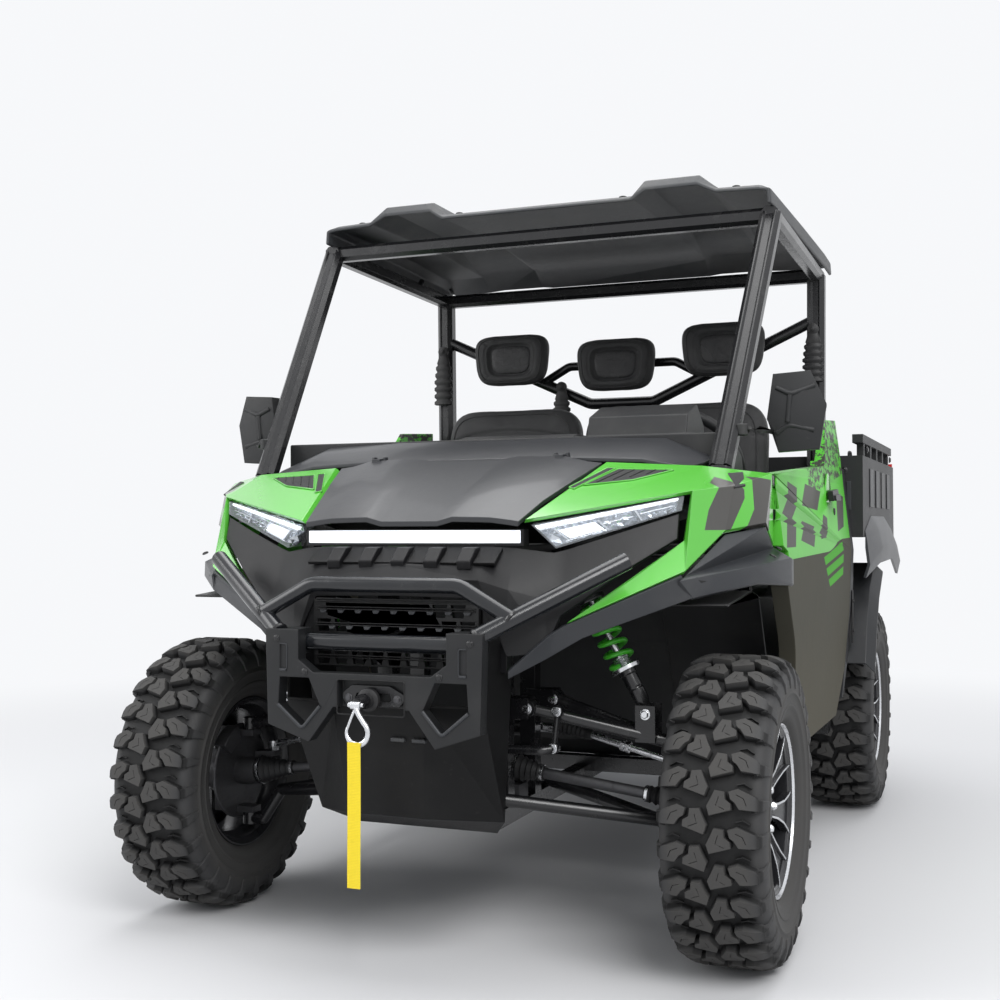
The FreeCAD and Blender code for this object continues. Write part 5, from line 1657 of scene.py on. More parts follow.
@dataclass
class Running(Assembly):
    """Suspension arms, steering and drive shafts."""

    def boot(self, start: Vector, end: Vector, wide: float, narrow: float, folds: int = 5) -> bmesh.types.BMesh:
        """A ribbed rubber boot that narrows from start to end.

        Args:
            start: middle of the wide end.
            end: middle of the narrow end.
            wide: radius at start.
            narrow: radius at end.
            folds: number of ribs.

        Returns:
            A closed work mesh.
        """
        length = (end - start).length
        line = [(0.0, wide * 0.96), (0.006, wide)]
        for fold in range(folds):
            t = (fold + 0.5) / folds
            size = wide + (narrow - wide) * t
            reach = 0.008 + (length - 0.016) * t
            line += [(reach - length * 0.045, size * 0.84), (reach, size * 1.04)]
        line += [(length - 0.006, narrow), (length, narrow * 0.96)]
        return spun(line, start, end, 32)

    def shafts(self) -> None:
        """Drive shafts with ribbed boots and bright clamps."""
        rubber, steel, clamps = [], [], []
        for y in (0.0, WHEELBASE):
            start, end = Vector(at(0.096, y, 0.4044)), Vector(at(0.600, y, WHEEL_RADIUS))
            way = (end - start).normalized()
            steel.append(spun([(0.0, 0.033), (0.050, 0.033), (0.052, 0.013), (0.300, 0.013)], start, end))
            steel.append(spun([(0.0, 0.013), (0.180, 0.013), (0.182, 0.034), (0.214, 0.037), (0.240, 0.034)],
                              end - way * 0.210, end))
            rubber.append(self.boot(start + way * 0.045, start + way * 0.125, 0.034, 0.018))
            rubber.append(self.boot(end - way * 0.030, end - way * 0.135, 0.035, 0.018, 6))
            for place, radius in ((start + way * 0.052, 0.0352), (start + way * 0.119, 0.0192),
                                  (end - way * 0.038, 0.0362), (end - way * 0.129, 0.0192)):
                clamps.append(spun([(-0.0035, radius), (0.0035, radius)], place, place + way, 32))
        steel_piece = self.put("drive_shafts", both_sides(steel), CAST)
        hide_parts("half_shafts")
        self.put("shaft_boots", both_sides(rubber), BOOT_RUBBER, smooth=50.0)
        self.put("boot_clamps", both_sides(clamps), BRIGHT)

    def arm_details(self) -> None:
        """Pivot bolts, foot bolts, links of the anti-roll bar and the bar."""
        heads, bars, boots = [], [], []
        for y in (0.0, WHEELBASE):
            for way in (-1, 1):
                heads += bolt(at(0.476, y + way * 0.0300, 0.545), (0, way, 0), 0.0095, 0.008)
                for spread, x, z, half in ((0.090, 0.215, 0.556, 0.020), (0.150, 0.150, 0.352, 0.024)):
                    for end in (-1, 1):
                        heads += bolt(at(x, y + way * spread + end * half, z), (0, end, 0), 0.0100, 0.007)
            boots.append(spun([(0.0, 0.017), (0.006, 0.0185), (0.012, 0.014)], at(0.600, y, 0.452),
                              at(0.600, y, 0.440)))
        for y, sign in ((0.0, -1), (WHEELBASE, 1)):
            side = y + sign * 0.100
            top, low = at(0.289, side, 0.553), at(0.279, side, 0.468)
            bars.append(spun([(0.012, 0.0065), (0.075, 0.0065)], top, low, 16))
            for eye in (top, low):
                bars.append(spun([(-0.011, 0.0115), (-0.009, 0.0135), (0.009, 0.0135), (0.011, 0.0115)], eye,
                                 (eye[0], eye[1] + sign, eye[2])))
                heads += bolt((eye[0], eye[1] + sign * 0.011, eye[2]), (0, sign, 0), 0.0085, 0.007)
            elbow = rounded_path([at(0.279, side + sign * 0.020, 0.468), at(0.262, side + sign * 0.034, 0.466),
                                  at(0.0, side + sign * 0.034, 0.462)], 0.012)
            bars.append(swept(elbow, 0.0105))
        self.put("arm_bolts", both_sides(heads), BRIGHT, smooth=25.0)
        self.put("roll_bars", both_sides(bars), BLACK_STEEL)
        self.put("ball_boots", both_sides(boots), BOOT_RUBBER)

    def steering_details(self) -> None:
        """Lock nuts and ribbed boots on the tie rods."""
        inner, outer = Vector(at(0.250, 0.130, 0.478)), Vector(at(0.594, 0.105, 0.3945))
        way = (outer - inner).normalized()
        rubber = [self.boot(inner - way * 0.045, inner + way * 0.050, 0.024, 0.013, 7)]
        nuts = []
        for share in (0.36, 0.40, 0.74):
            place = inner.lerp(outer, share)
            nuts.append(spun([(0.0, 0.0150), (0.010, 0.0150)], place, place + way, 6))
        self.put("rack_boots", both_sides(rubber), BOOT_RUBBER, "steering_rack", smooth=50.0)
        self.put("tie_rod_nuts", both_sides(nuts), BRIGHT, "steering_rack", smooth=25.0)

    def calipers(self) -> None:
        """Brake caliper and pressed shield on each hub carrier."""
        for end, y in (("front", 0.0), ("rear", WHEELBASE)):
            for side in Side:
                body = f"front_knuckle_{side.word}" if end == "front" else "chassis"
                parts = self.caliper(y)
                if side is Side.RIGHT:
                    parts = mirrored(parts)
                mesh = finished(packed(parts, "caliper"), f"{end}_caliper_{side.word}", 0.0015, 2, 35.0)
                self.add(f"{end}_caliper_{side.word}", mesh, CAST, body)

    def caliper(self, y: float) -> list[bmesh.types.BMesh]:
        """Brake shield and caliper on the left.

        Args:
            y: place of the axle behind the front one.

        Returns:
            Two closed work meshes.
        """
        shield = spun([(0.0, 0.118), (0.003, 0.122), (0.006, 0.122), (0.008, 0.105), (0.008, 0.080)],
                      at(0.628, y, WHEEL_RADIUS), at(1.0, y, WHEEL_RADIUS), 48)
        block = []
        for turn in (-34, -22, -10, 2):
            angle = math.radians(turn + 50)
            for radius in (0.088, 0.126):
                for x in (0.612, 0.648):
                    block.append(at(x, y - radius * math.sin(angle), WHEEL_RADIUS + radius * math.cos(angle)))
        return [shield, hulled(block)]

    def build(self) -> None:
        """Round and finish the running gear."""
        for end in ("front", "rear"):
            self.soften(f"{end}_arms", "chassis", BLACK_STEEL, 0.003)
        for side in Side:
            self.dress(f"knuckle_{side.word}", CAST)
        self.dress("rear_uprights", CAST)
        self.dress("tie_rods", BRIGHT)
        self.shafts()
        self.arm_details()
        self.steering_details()
        self.calipers()


@dataclass(frozen=True)
class PadForm:
    """A cushion before it is stuffed: an outline in its own plane and a thickness."""

    centre: Point
    half_wide: float
    half_tall: float
    half_deep: float
    lean: float = 0.0
    flat: bool = False
    taper: float = 0.0
    waist: float = 0.035
    power: float = 5.0
    edge: float = 0.026
    slim: float = 0.011

    @property
    def axes(self) -> tuple[Vector, Vector, Vector]:
        """Directions across, up the face, and out of the face."""
        if self.flat:
            up = Vector((0, math.cos(self.lean), -math.sin(self.lean)))
            return Vector((1, 0, 0)), up, Vector((0, math.sin(self.lean), math.cos(self.lean)))
        up = Vector((0, math.sin(self.lean), math.cos(self.lean)))
        return Vector((1, 0, 0)), up, Vector((0, -math.cos(self.lean), math.sin(self.lean)))

    def loop(self, scale: float, shrink: float, depth: float, steps: int = 72) -> list[Point]:
        """One closed line of the outline.

        Args:
            scale: 1 for the full outline.
            shrink: metres taken off both half sizes.
            depth: distance out of the middle plane.
            steps: points of the line.

        Returns:
            Points in the vehicle's frame.
        """
        across, up, out = self.axes
        points = []
        for turn in turns(steps):
            c, s = math.cos(turn), math.sin(turn)
            pinch = 1 - self.waist * math.cos(2 * turn) ** 2
            u = math.copysign(abs(c) ** (2 / self.power), c) * pinch
            v = math.copysign(abs(s) ** (2 / self.power), s) * pinch
            a = u * (self.half_wide - shrink) * scale * (1 + self.taper * v)
            b = v * (self.half_tall - shrink) * scale
            points.append(tuple(Vector(self.centre) + across * a + up * b + out * depth))
        return points

    def core(self) -> bmesh.types.BMesh:
        """The slim closed form that is stuffed."""
        deep = self.half_deep - self.slim
        rings = []
        for step in range(-6, 7):
            t = step / 6
            depth = deep * t
            into = max(0.0, abs(depth) - (deep - self.edge)) / self.edge
            rings.append(self.loop(1.0, self.slim + self.edge * (1 - math.sqrt(max(0.0, 1 - into * into))), depth))
        return lofted(rings)

    def local(self, point: Vector) -> tuple[float, float, float]:
        """A point's place across, up and out of the face."""
        offset = point - Vector(self.centre)
        return tuple(offset.dot(axis) for axis in self.axes)


def stuffed(form: PadForm, name: str, voxel: float, cap: float, pressure: float = 4.0) -> bpy.types.Mesh:
    """Swell a slim form into a cushion with a cloth simulation.

    Args:
        form: the cushion's form.
        name: the mesh's name.
        voxel: size of the remesh grid.
        cap: how far a point may move.
        pressure: inner pressure.

    Returns:
        The swollen mesh with one subdivision.
    """
    holder = linked(f"{name}_core", packed([form.core()], name))
    remesh = holder.modifiers.new("skin", "REMESH")
    remesh.mode = "VOXEL"
    remesh.voxel_size = voxel
    skin = baked(holder, f"{name}_skin")
    rest = [vert.co.copy() for vert in skin.vertices]
    body = linked(f"{name}_cloth", skin)
    swell = body.modifiers.new("swell", "CLOTH")
    swell.settings.quality = 4
    swell.settings.use_pressure = True
    swell.settings.uniform_pressure_force = pressure
    swell.settings.tension_stiffness = 12.0
    swell.settings.compression_stiffness = 12.0
    swell.settings.effector_weights.gravity = 0.0
    swell.point_cache.frame_start = 1
    swell.point_cache.frame_end = 20
    for frame in range(1, 21):
        bpy.context.scene.frame_set(frame)
    result = baked(body, name)
    bpy.context.scene.frame_set(1)
    for vert, start in zip(result.vertices, rest):
        move = vert.co - start
        if move.length > cap:
            vert.co = start + move.normalized() * cap
    fitted(result, form)
    holder = linked(f"{name}_fine", result)
    calm = holder.modifiers.new("calm", "SMOOTH")
    calm.factor = 0.5
    calm.iterations = 3
    fine = holder.modifiers.new("fine", "SUBSURF")
    fine.levels = 1
    fine.render_levels = 1
    return baked(holder, name)


def fitted(mesh: bpy.types.Mesh, form: PadForm) -> None:
    """Bring a swollen cushion, which pulls in as it swells, back to its width and length.

    Args:
        mesh: the cushion.
        form: its form.
    """
    across, up, out = form.axes
    places = [form.local(vert.co) for vert in mesh.vertices]
    wide = form.half_wide * (1 + abs(form.taper)) / max(abs(a) for a, _, _ in places)
    tall = form.half_tall / max(abs(b) for _, b, _ in places)
    for vert, (a, b, c) in zip(mesh.vertices, places):
        vert.co = Vector(form.centre) + across * (a * wide) + up * (b * tall) + out * c


def sewn(mesh: bpy.types.Mesh, form: PadForm, sink: Callable[[float, float], float]) -> None:
    """Press seams and panels into the face of a cushion.

    Args:
        mesh: the cushion.
        form: its form, which gives the face's own axes.
        sink: depth in metres at a place across and up the face.
    """
    out = form.axes[2]
    limit = form.half_deep * 0.15
    for vert in mesh.vertices:
        a, b, c = form.local(vert.co)
        if c > limit:
            vert.co -= out * sink(a, b) * min(1.0, (c - limit) / (form.half_deep * 0.5))
    for face in mesh.polygons:
        face.use_smooth = True


def dip(distance: float, width: float) -> float:
    """1 on a line, falling to 0 over its width."""
    return math.exp(-(distance / width) ** 2)


def laid_on(mesh: bpy.types.Mesh, form: PadForm, scale: float, radius: float) -> bmesh.types.BMesh:
    """Piping cord that lies on a cushion's face along its outline.

    Args:
        mesh: the cushion.
        form: its form.
        scale: share of the full outline at which the cord runs.
        radius: the cord's radius.

    Returns:
        A closed work mesh.
    """
    tree = BVHTree.FromPolygons([vert.co for vert in mesh.vertices], [tuple(face.vertices) for face in mesh.polygons])
    out = form.axes[2]
    path = []
    for point in form.loop(scale, form.slim * 0.5, form.half_deep + 0.03, 96):
        spot = tree.ray_cast(Vector(point), -out)[0]
        if spot is not None:
            path.append(tuple(spot + out * radius * 0.2))
    return ringed(path, radius)


@dataclass
class Seats(Assembly):
    """Padded seat cushions, seat backs and headrests; places are each seat's word and its sides' x."""

    places: tuple[tuple[str, float, float], ...] = (("right", -0.542, -0.072), ("left", -0.058, 0.542))

    def cushions(self) -> None:
        """Two seat cushions with cross channels and a piped edge."""
        for word, low, high in self.places:
            form = PadForm(at((low + high) / 2, 1.020, 0.822), (high - low) / 2, 0.220, 0.063, 0.045, True)
            mesh = stuffed(form, f"cushion_{word}", 0.010, 0.014)

            def sink(a: float, b: float, form: PadForm = form) -> float:
                """Two cross channels and a border seam."""
                rho = max(abs(a) / form.half_wide, abs(b) / form.half_tall)
                lines = dip(b - 0.065, 0.007) + dip(b + 0.065, 0.007)
                return 0.006 * lines * (rho < 0.80) + 0.004 * dip((rho - 0.80) * form.half_tall, 0.005)

            sewn(mesh, form, sink)
            self.pad(f"seat_cushion_{word}", mesh, "seat_cushions", 0.75)
            self.put(f"cushion_piping_{word}", [laid_on(mesh, form, 0.93, 0.0026)], PIPING)

    def backs(self) -> None:
        """Two seat backs with a curved upper seam and a piped edge."""
        for word, low, high in self.places:
            form = PadForm(at((low + high) / 2, 1.152, 1.129), (high - low) / 2, 0.244, 0.054, 0.163, waist=0.02)
            mesh = stuffed(form, f"back_{word}", 0.0095, 0.014)

            def sink(a: float, b: float, form: PadForm = form) -> float:
                """A bolster seam on each side and an arch under the top."""
                side = abs(abs(a) - form.half_wide * (0.70 - 0.06 * b / form.half_tall))
                arch = b - form.half_tall * (0.66 - 0.16 * (a / form.half_wide) ** 2)
                return 0.006 * dip(side, 0.006) * (b < form.half_tall * 0.6) + 0.005 * dip(arch, 0.006)

            sewn(mesh, form, sink)
            self.pad(f"seat_back_{word}", mesh, "seat_backs", 0.75)
            self.put(f"back_piping_{word}", [laid_on(mesh, form, 0.94, 0.0026)], PIPING)

    def headrests(self) -> None:
        """Three headrests: a rolled frame with mitred seams round a sunk glossy panel."""
        for word, x, z in (("right", -0.371, 1.557), ("middle", 0.006, 1.524), ("left", 0.371, 1.557)):
            form = PadForm(at(x, 1.3035, z), 0.128, 0.088, 0.0325, 0.0, False, 0.07, 0.02, 3.6, 0.022, 0.008)
            mesh = stuffed(form, f"headrest_{word}", 0.0055, 0.003)

            def sink(a: float, b: float, form: PadForm = form) -> float:
                """The sunk middle and the four mitre seams."""
                u = abs(a) / (form.half_wide * (1 + form.taper * b / form.half_tall))
                v = abs(b) / form.half_tall
                rho = (u ** 4 + v ** 4) ** 0.25
                t = min(1.0, max(0.0, (0.70 - rho) / 0.14))
                mitre = dip((u - v) * 0.075, 0.0022) * (0.70 < rho < 0.98)
                return 0.012 * t * t * (3 - 2 * t) + 0.0022 * mitre + 0.0025 * dip((rho - 0.71) * 0.09, 0.0025)

            sewn(mesh, form, sink)
            self.pad(f"headrest_{word}", mesh, "headrests", 0.85)
            rings = [form.loop(scale, 0.008, depth, 64) for scale, depth in
                     ((0.60, 0.008), (0.615, 0.0145), (0.605, 0.0165), (0.57, 0.0180), (0.45, 0.0190), (0.22, 0.0195))]
            piece = self.put(f"headrest_panel_{word}", [lofted(rings)], GLOSS_VINYL, smooth=50.0)
            self.put(f"headrest_piping_{word}", [laid_on(mesh, form, 0.95, 0.0022)], PIPING)

    def pad(self, name: str, mesh: bpy.types.Mesh, node: str, fill: float) -> None:
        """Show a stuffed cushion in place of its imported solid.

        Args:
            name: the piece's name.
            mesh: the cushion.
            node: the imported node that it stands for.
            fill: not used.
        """
        piece = self.add(name, mesh, SEAT_VINYL, "chassis")
        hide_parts(node)

    def build(self) -> None:
        """Stuff and sew every pad."""
        self.cushions()
        self.backs()
        self.headrests()


@dataclass
class Cabin(Assembly):
    """Dashboard, steering wheel, belt gaiters and seat base."""

    def gaiter(self, place: Point, height: float, wide: float, deep: float) -> list[bmesh.types.BMesh]:
        """A flat ribbed belt gaiter with its neck and anchor eye.

        Args:
            place: middle of its lower end.
            height: length of the ribbed part.
            wide: full width of the ribs.
            deep: full depth of the ribs.

        Returns:
            Closed work meshes.
        """
        line = [(0.0, 0.40)]
        for rib in range(6):
            base = height * rib / 6
            size = 0.5 if rib < 4 else 0.5 - 0.04 * (rib - 3)
            line += [(base + height * 0.02, size), (base + height * 0.085, size), (base + height * 0.12, size * 0.78),
                     (base + height * 0.145, size * 0.78)]
        line += [(height, 0.36), (height + 0.022, 0.26), (height + 0.034, 0.22)]
        body = spun([(z, r * wide) for z, r in line], place, (place[0], place[1], place[2] + 1), 28)
        for vert in body.verts:
            vert.co.y = place[1] + (vert.co.y - place[1]) * deep / wide
        eye_z = place[2] + height + 0.042
        eye = spun([(-0.008, 0.015), (-0.006, 0.018), (0.006, 0.018), (0.008, 0.015)], (place[0], place[1], eye_z),
                   (place[0], place[1] + 1, eye_z), 24)
        return [body, eye] + bolt((place[0], place[1] - 0.008, eye_z), (0, -1, 0), 0.008, 0.005)

    def belts(self) -> None:
        """Gaiters at both door pillars and in the middle."""
        parts = []
        for place, height in ((at(-0.652, 1.345, 1.415), 0.150), (at(0.655, 1.345, 1.440), 0.130),
                              (at(-0.205, 1.350, 1.290), 0.130)):
            parts += self.gaiter(place, height, 0.070, 0.030)
        self.put("belt_gaiters", parts, BOOT_RUBBER, smooth=40.0)

    def build(self) -> None:
        """Round the mouldings and add the gaiters."""
        self.soften("dashboard", "chassis", CAB_MOULD, 0.010, 3)
        self.soften("seat_base", "chassis", CAB_MOULD, 0.006)
        self.dress("steering_column", CAB_MOULD)
        self.soften("steering_wheel", "steering_wheel", CAB_MOULD, 0.003)
        self.belts()


@dataclass
class Lamps(Assembly):
    """Headlamps with their insides, and the lit strip between them."""

    upper_in: Point = (0.290, -0.271, 0.981)
    upper_out: Point = (0.592, -0.112, 1.0438)
    lower_out: Point = (0.588, -0.118, 1.012)
    lower_in: Point = (0.338, -0.246, 0.929)

    def on_face(self, u: float, v: float, depth: float) -> Point:
        """A place behind the lamp's face.

        Args:
            u: 0 at the inner edge, 1 at the outer.
            v: 0 at the upper edge, 1 at the lower.
            depth: metres into the lamp.

        Returns:
            The place in the vehicle's frame.
        """
        a, b, c, d = (Vector(at(*p)) for p in (self.upper_in, self.upper_out, self.lower_out, self.lower_in))
        inwards = (b - a).cross(d - a).normalized()
        if inwards.y < 0:
            inwards = -inwards
        return tuple(a.lerp(b, u).lerp(d.lerp(c, u), v) + inwards * depth)

    def bar(self, u0: float, u1: float, v0: float, v1: float, near: float, far: float,
            slant: float = 0.0) -> bmesh.types.BMesh:
        """A block behind the lamp's face.

        Args:
            u0: its inner side.
            u1: its outer side.
            v0: its upper side.
            v1: its lower side.
            near: depth of its front.
            far: depth of its back.
            slant: shift of its lower side outwards.

        Returns:
            A closed work mesh.
        """
        points = []
        for v, shift in ((v0, 0.0), (v1, slant)):
            for u in (u0 + shift, u1 + shift):
                points += [self.on_face(u, v, near), self.on_face(u, v, far)]
        return hulled(points)

    def reflector(self) -> bmesh.types.BMesh:
        """Facets like folded bright foil behind the lens."""
        work = bmesh.new()
        columns, rows = 16, 4
        grid = []
        for i in range(columns + 1):
            row = []
            for j in range(rows + 1):
                u, v = 0.02 + 0.95 * i / columns, 0.04 + 0.90 * j / rows
                odd = (i + j) % 2
                u += 0.016 * math.sin(i * 2.3 + j * 1.7) * (0 < i < columns)
                row.append(work.verts.new(self.on_face(u, v, 0.024 if odd else 0.012)))
            grid.append(row)
        for i in range(columns):
            for j in range(rows):
                a, b, c, d = grid[i][j], grid[i + 1][j], grid[i + 1][j + 1], grid[i][j + 1]
                pair = ((a, b, c), (a, c, d)) if (i + j) % 2 else ((a, b, d), (b, c, d))
                for corners in pair:
                    work.faces.new(corners)
        back = bmesh.ops.extrude_face_region(work, geom=work.faces[:])
        lifted = [item for item in back["geom"] if isinstance(item, bmesh.types.BMVert)]
        push = Vector(self.on_face(0.5, 0.5, 0.010)) - Vector(self.on_face(0.5, 0.5, 0.0))
        bmesh.ops.translate(work, vec=push, verts=lifted)
        bmesh.ops.recalc_face_normals(work, faces=work.faces)
        return work

    def build(self) -> None:
        """Fill both lamps and light the strip."""
        self.dress("headlamps", LAMP_COVER)
        self.dress("light_strip", FASCIA_BLACK)
        lit = [(-0.266, -0.2733), (-0.150, -0.2852), (0.150, -0.2852), (0.266, -0.2733), (0.262, -0.262),
               (-0.262, -0.262)]
        bar = plate([at(x, y, 0.9405) for x, y in lit], (0, 0, 0.0295))
        self.put("strip_light", [bar], STRIP_GLOW, "chassis", 0.0022, 3)
        lights = ((0.015, 0.965, 0.06, 0.21, 0.004, 0.010), (0.12, 0.375, 0.40, 0.80, 0.004, 0.012, 0.03))
        edges = ((0.015, 0.965, 0.23, 0.27, 0.003, 0.012), (0.395, 0.41, 0.34, 0.90, 0.004, 0.014, 0.03),
                 (0.095, 0.11, 0.34, 0.90, 0.004, 0.014, 0.03), (0.66, 0.675, 0.27, 0.90, 0.004, 0.014, 0.02),
                 (0.42, 0.64, 0.55, 0.58, 0.004, 0.012), (0.69, 0.93, 0.50, 0.56, 0.004, 0.012),
                 (0.10, 0.40, 0.84, 0.88, 0.004, 0.013))
        glow, trim = ([self.bar(*place) for place in places] for places in (lights, edges))
        self.put("lamp_reflectors", both_sides([self.reflector()]), FOIL, smooth=5.0)
        self.put("lamp_lights", both_sides(glow), LAMP_GLOW)
        self.put("lamp_trim", both_sides(trim), FOIL, "chassis", 0.0004, 1)


@dataclass
class Nose(Assembly):
    """Fascia, grille, guard, bumper and winch gear."""

    hook_radius: float = 0.0250
    strap_thick: float = 0.0018
    strap_bow: float = 0.0008
    plate_y: float = -0.4625
    bumper_y: float = -0.4742
    repeats: Tree | None = None

    def strap(self) -> None:
        """Pull strap of the winch hook: one flat length of webbing."""
        low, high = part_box("pull_strap")
        width, length = high.x - low.x, high.z - low.z
        middle = (low.y + high.y) / 2
        rows, columns = 60, 8
        mesh = bmesh.new()
        grid = []
        for r in range(rows + 1):
            z = high.z - length * r / rows
            bow = self.strap_bow * math.sin(r / rows * math.pi * 1.5)
            grid.append([mesh.verts.new((low.x + width * c / columns, middle + bow, z)) for c in range(columns + 1)])
        for r in range(rows):
            for c in range(columns):
                mesh.faces.new((grid[r][c], grid[r + 1][c], grid[r + 1][c + 1], grid[r][c + 1]))
        holder = linked("strap_holder", meshed(mesh, "pull_strap_cloth"))
        wall = holder.modifiers.new("wall", "SOLIDIFY")
        wall.thickness = self.strap_thick
        wall.offset = 0
        piece = self.add("pull_strap_webbing", baked(holder, "pull_strap_webbing"), STRAP_YELLOW, "chassis")
        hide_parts("pull_strap")

    def louvres(self) -> None:
        """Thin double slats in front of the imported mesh, with small hanging teeth."""
        slats = []
        for z in (0.686, 0.722, 0.758, 0.794, 0.812):
            half = 0.196 - 0.10 * max(0.0, z - 0.780)
            for lift in (0.0, 0.0052):
                slats.append(swept([at(-half, -0.3625, z + lift), at(half, -0.3625, z + lift)], 0.0017, 8))
        tooth = [at(-0.0095, -0.3635, -0.0005), at(0.0095, -0.3635, -0.0005), at(0.0055, -0.3665, -0.0085),
                 at(-0.0055, -0.3665, -0.0085)]
        seed = finished(packed([plate(tooth, (0, 0.006, 0))], "tooth"), "tooth_seed", 0.0006, 1)
        self.put("grille_slats", slats, BLACK_MOULD)
        for row, z in enumerate((0.722, 0.758, 0.794)):
            count = 8 if row % 2 else 9
            made = self.repeats.run(seed.copy(), f"grille_teeth_{row}", Count=count, Shift=(0.044, 0.0, 0.0),
                                    Place=(-0.022 * (count - 1), 0.0, z), Material=FLARE_GREY.material())
            self.add(f"grille_teeth_{row}", made, FLARE_GREY, "chassis")

    def fairlead(self) -> None:
        """Six-sided fairlead plate with its slot, two bolts and the rope stopper."""
        corners_of_plate = ((-0.074, 0.610), (-0.074, 0.622), (-0.050, 0.640), (0.040, 0.640), (0.074, 0.622),
                            (0.074, 0.610), (0.062, 0.596), (-0.062, 0.596))
        outline = [at(x, self.plate_y, z) for x, z in corners_of_plate]
        slot = [at(x, -0.480, z) for x, z in ((-0.040, 0.606), (0.040, 0.606), (0.043, 0.613), (0.038, 0.623),
                                              (-0.038, 0.623), (-0.043, 0.613))]
        cutter = packed([plate(slot, (0, 0.05, 0))], "fairlead_slot")
        mesh = finished(packed([plate(outline, (0, 0.0092, 0))], "fairlead"), "fairlead_plate", 0.0012, 2, 30.0, cutter)
        piece = self.add("fairlead_plate", mesh, BLACK_STEEL, "chassis")
        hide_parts("fairlead")
        heads = [part for x in (-0.058, 0.058) for part in bolt(at(x, self.plate_y, 0.612), (0, -1, 0), 0.0068, 0.005)]
        self.put("fairlead_bolts", heads, CAST, smooth=25.0)
        line = [(0.0, 0.022), (0.002, 0.025), (0.012, 0.025), (0.014, 0.022), (0.016, 0.017), (0.030, 0.0155),
                (0.036, 0.012)]
        stopper = spun(line, at(-0.006, -0.4640, 0.611), at(-0.004, -0.520, 0.606), 32)
        self.put("rope_stopper", [stopper], BOOT_RUBBER)

    def hook(self) -> None:
        """Forged hook: eye with its pin, throat, point and spring latch."""
        centre = at(0.003, -0.5375, 0.551)
        bow = [(centre[0] - 0.004, centre[1], centre[2] + 0.052), (centre[0] + 0.004, centre[1], centre[2] + 0.036)]
        ring = [moved(centre, (self.hook_radius * math.sin(a), 0, -self.hook_radius * math.cos(a)))
                for a in (math.radians(t) for t in range(-112, 150, 12))]
        rings = []
        points = ring + bow[::-1]
        for index, point in enumerate(points):
            share = index / (len(points) - 1)
            thick = 0.0028 + 0.0040 * math.sin(min(1.0, share * 1.6) * math.pi * 0.72)
            before, after = Vector(points[max(index - 1, 0)]), Vector(points[min(index + 1, len(points) - 1)])
            way = (after - before).normalized()
            side = way.cross(Vector((0, 1, 0)))
            rings.append([tuple(Vector(point) + side * math.cos(a) * thick
                                + Vector((0, 1, 0)) * math.sin(a) * thick * 1.15)
                          for a in turns(14)])
        parts = [lofted(rings)]
        parts.append(swept([bow[0], (centre[0] - 0.014, centre[1], centre[2] + 0.030), ring[1]], 0.0030, 10))
        head = (centre[0] - 0.004, centre[1] + 0.002, centre[2] + 0.056)
        across = (head[0] + 1, head[1], head[2])
        for line, sides in (([(-0.012, 0.006), (-0.011, 0.0085), (0.011, 0.0085), (0.012, 0.006)], 20),
                            ([(-0.018, 0.0055), (-0.012, 0.0055)], 6), ([(0.012, 0.0045), (0.017, 0.0045)], 6)):
            parts.append(spun(line, head, across, sides))
        piece = self.put("forged_hook", parts, BRIGHT)
        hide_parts("winch_hook")
        swivel = [spun([(0.0, 0.0150), (0.012, 0.0165), (0.026, 0.0125), (0.040, 0.0125)],
                       at(-0.002, -0.497, 0.612), head, 24)]
        self.put("hook_swivel", swivel, BLACK_STEEL)

    def bumper_details(self) -> None:
        """Raised rims of the step holes, slot rims, panel screws and chin slots."""
        step = [at(x, -0.4745, z) for x, z in ((0.122, 0.592), (0.166, 0.542), (0.226, 0.592))]
        rims = [swept(rounded_path(step, 0.010, 4), 0.0040, 10)]
        slot = [at(x, self.bumper_y, z) for x, z in ((0.222, 0.724), (0.204, 0.724), (0.204, 0.668), (0.222, 0.668))]
        rims.append(swept(rounded_path(slot, 0.006, 4), 0.0014, 8))
        rims.append(swept([at(0.206, -0.4735, 0.667), at(0.221, -0.4735, 0.667)], 0.0034, 10))
        self.put("bumper_rims", both_sides(rims), FLARE_GREY)
        frame = [at(x, self.bumper_y, z) for x, z in ((-0.080, 0.652), (0.080, 0.652), (0.080, 0.578), (-0.080, 0.578))]
        self.put("winch_frame", [ringed(rounded_loop(frame, 0.005, 3), 0.0016, 8)], BLACK_MOULD)
        chin = []
        for x in (0.045, 0.095):
            outline = [at(x - 0.016, -0.4385, 0.527), at(x + 0.016, -0.4385, 0.527), at(x + 0.016, -0.4375, 0.519),
                       at(x - 0.016, -0.4375, 0.519)]
            chin.append(plate(outline, (0, 0.012, 0)))
        self.put("chin_slots", chin, FLARE_GREY, "chassis", 0.0015, 2)
        bolts = []
        for x, z in ((0.230, 0.735), (0.160, 0.664)):
            bolts += bolt(at(x, -0.474, z), (0, -1, 0), 0.0060, 0.004)
        self.put("bumper_bolts", both_sides(bolts), BLACK_STEEL, smooth=25.0)

    def guard_caps(self) -> None:
        """Weld beads of the tube guard."""
        beads = []
        for foot, way in ((at(0.300, -0.418, 0.785), (0.6, -0.1, -0.4)), (at(0.236, -0.454, 0.748), (0.83, 0.52, 0.5))):
            out = Vector(way).normalized()
            beads.append(spun([(-0.004, 0.0195), (0.0, 0.0212), (0.004, 0.0195)], foot, tuple(Vector(foot) + out), 28))
        self.put("guard_welds", both_sides(beads), BLACK_STEEL)

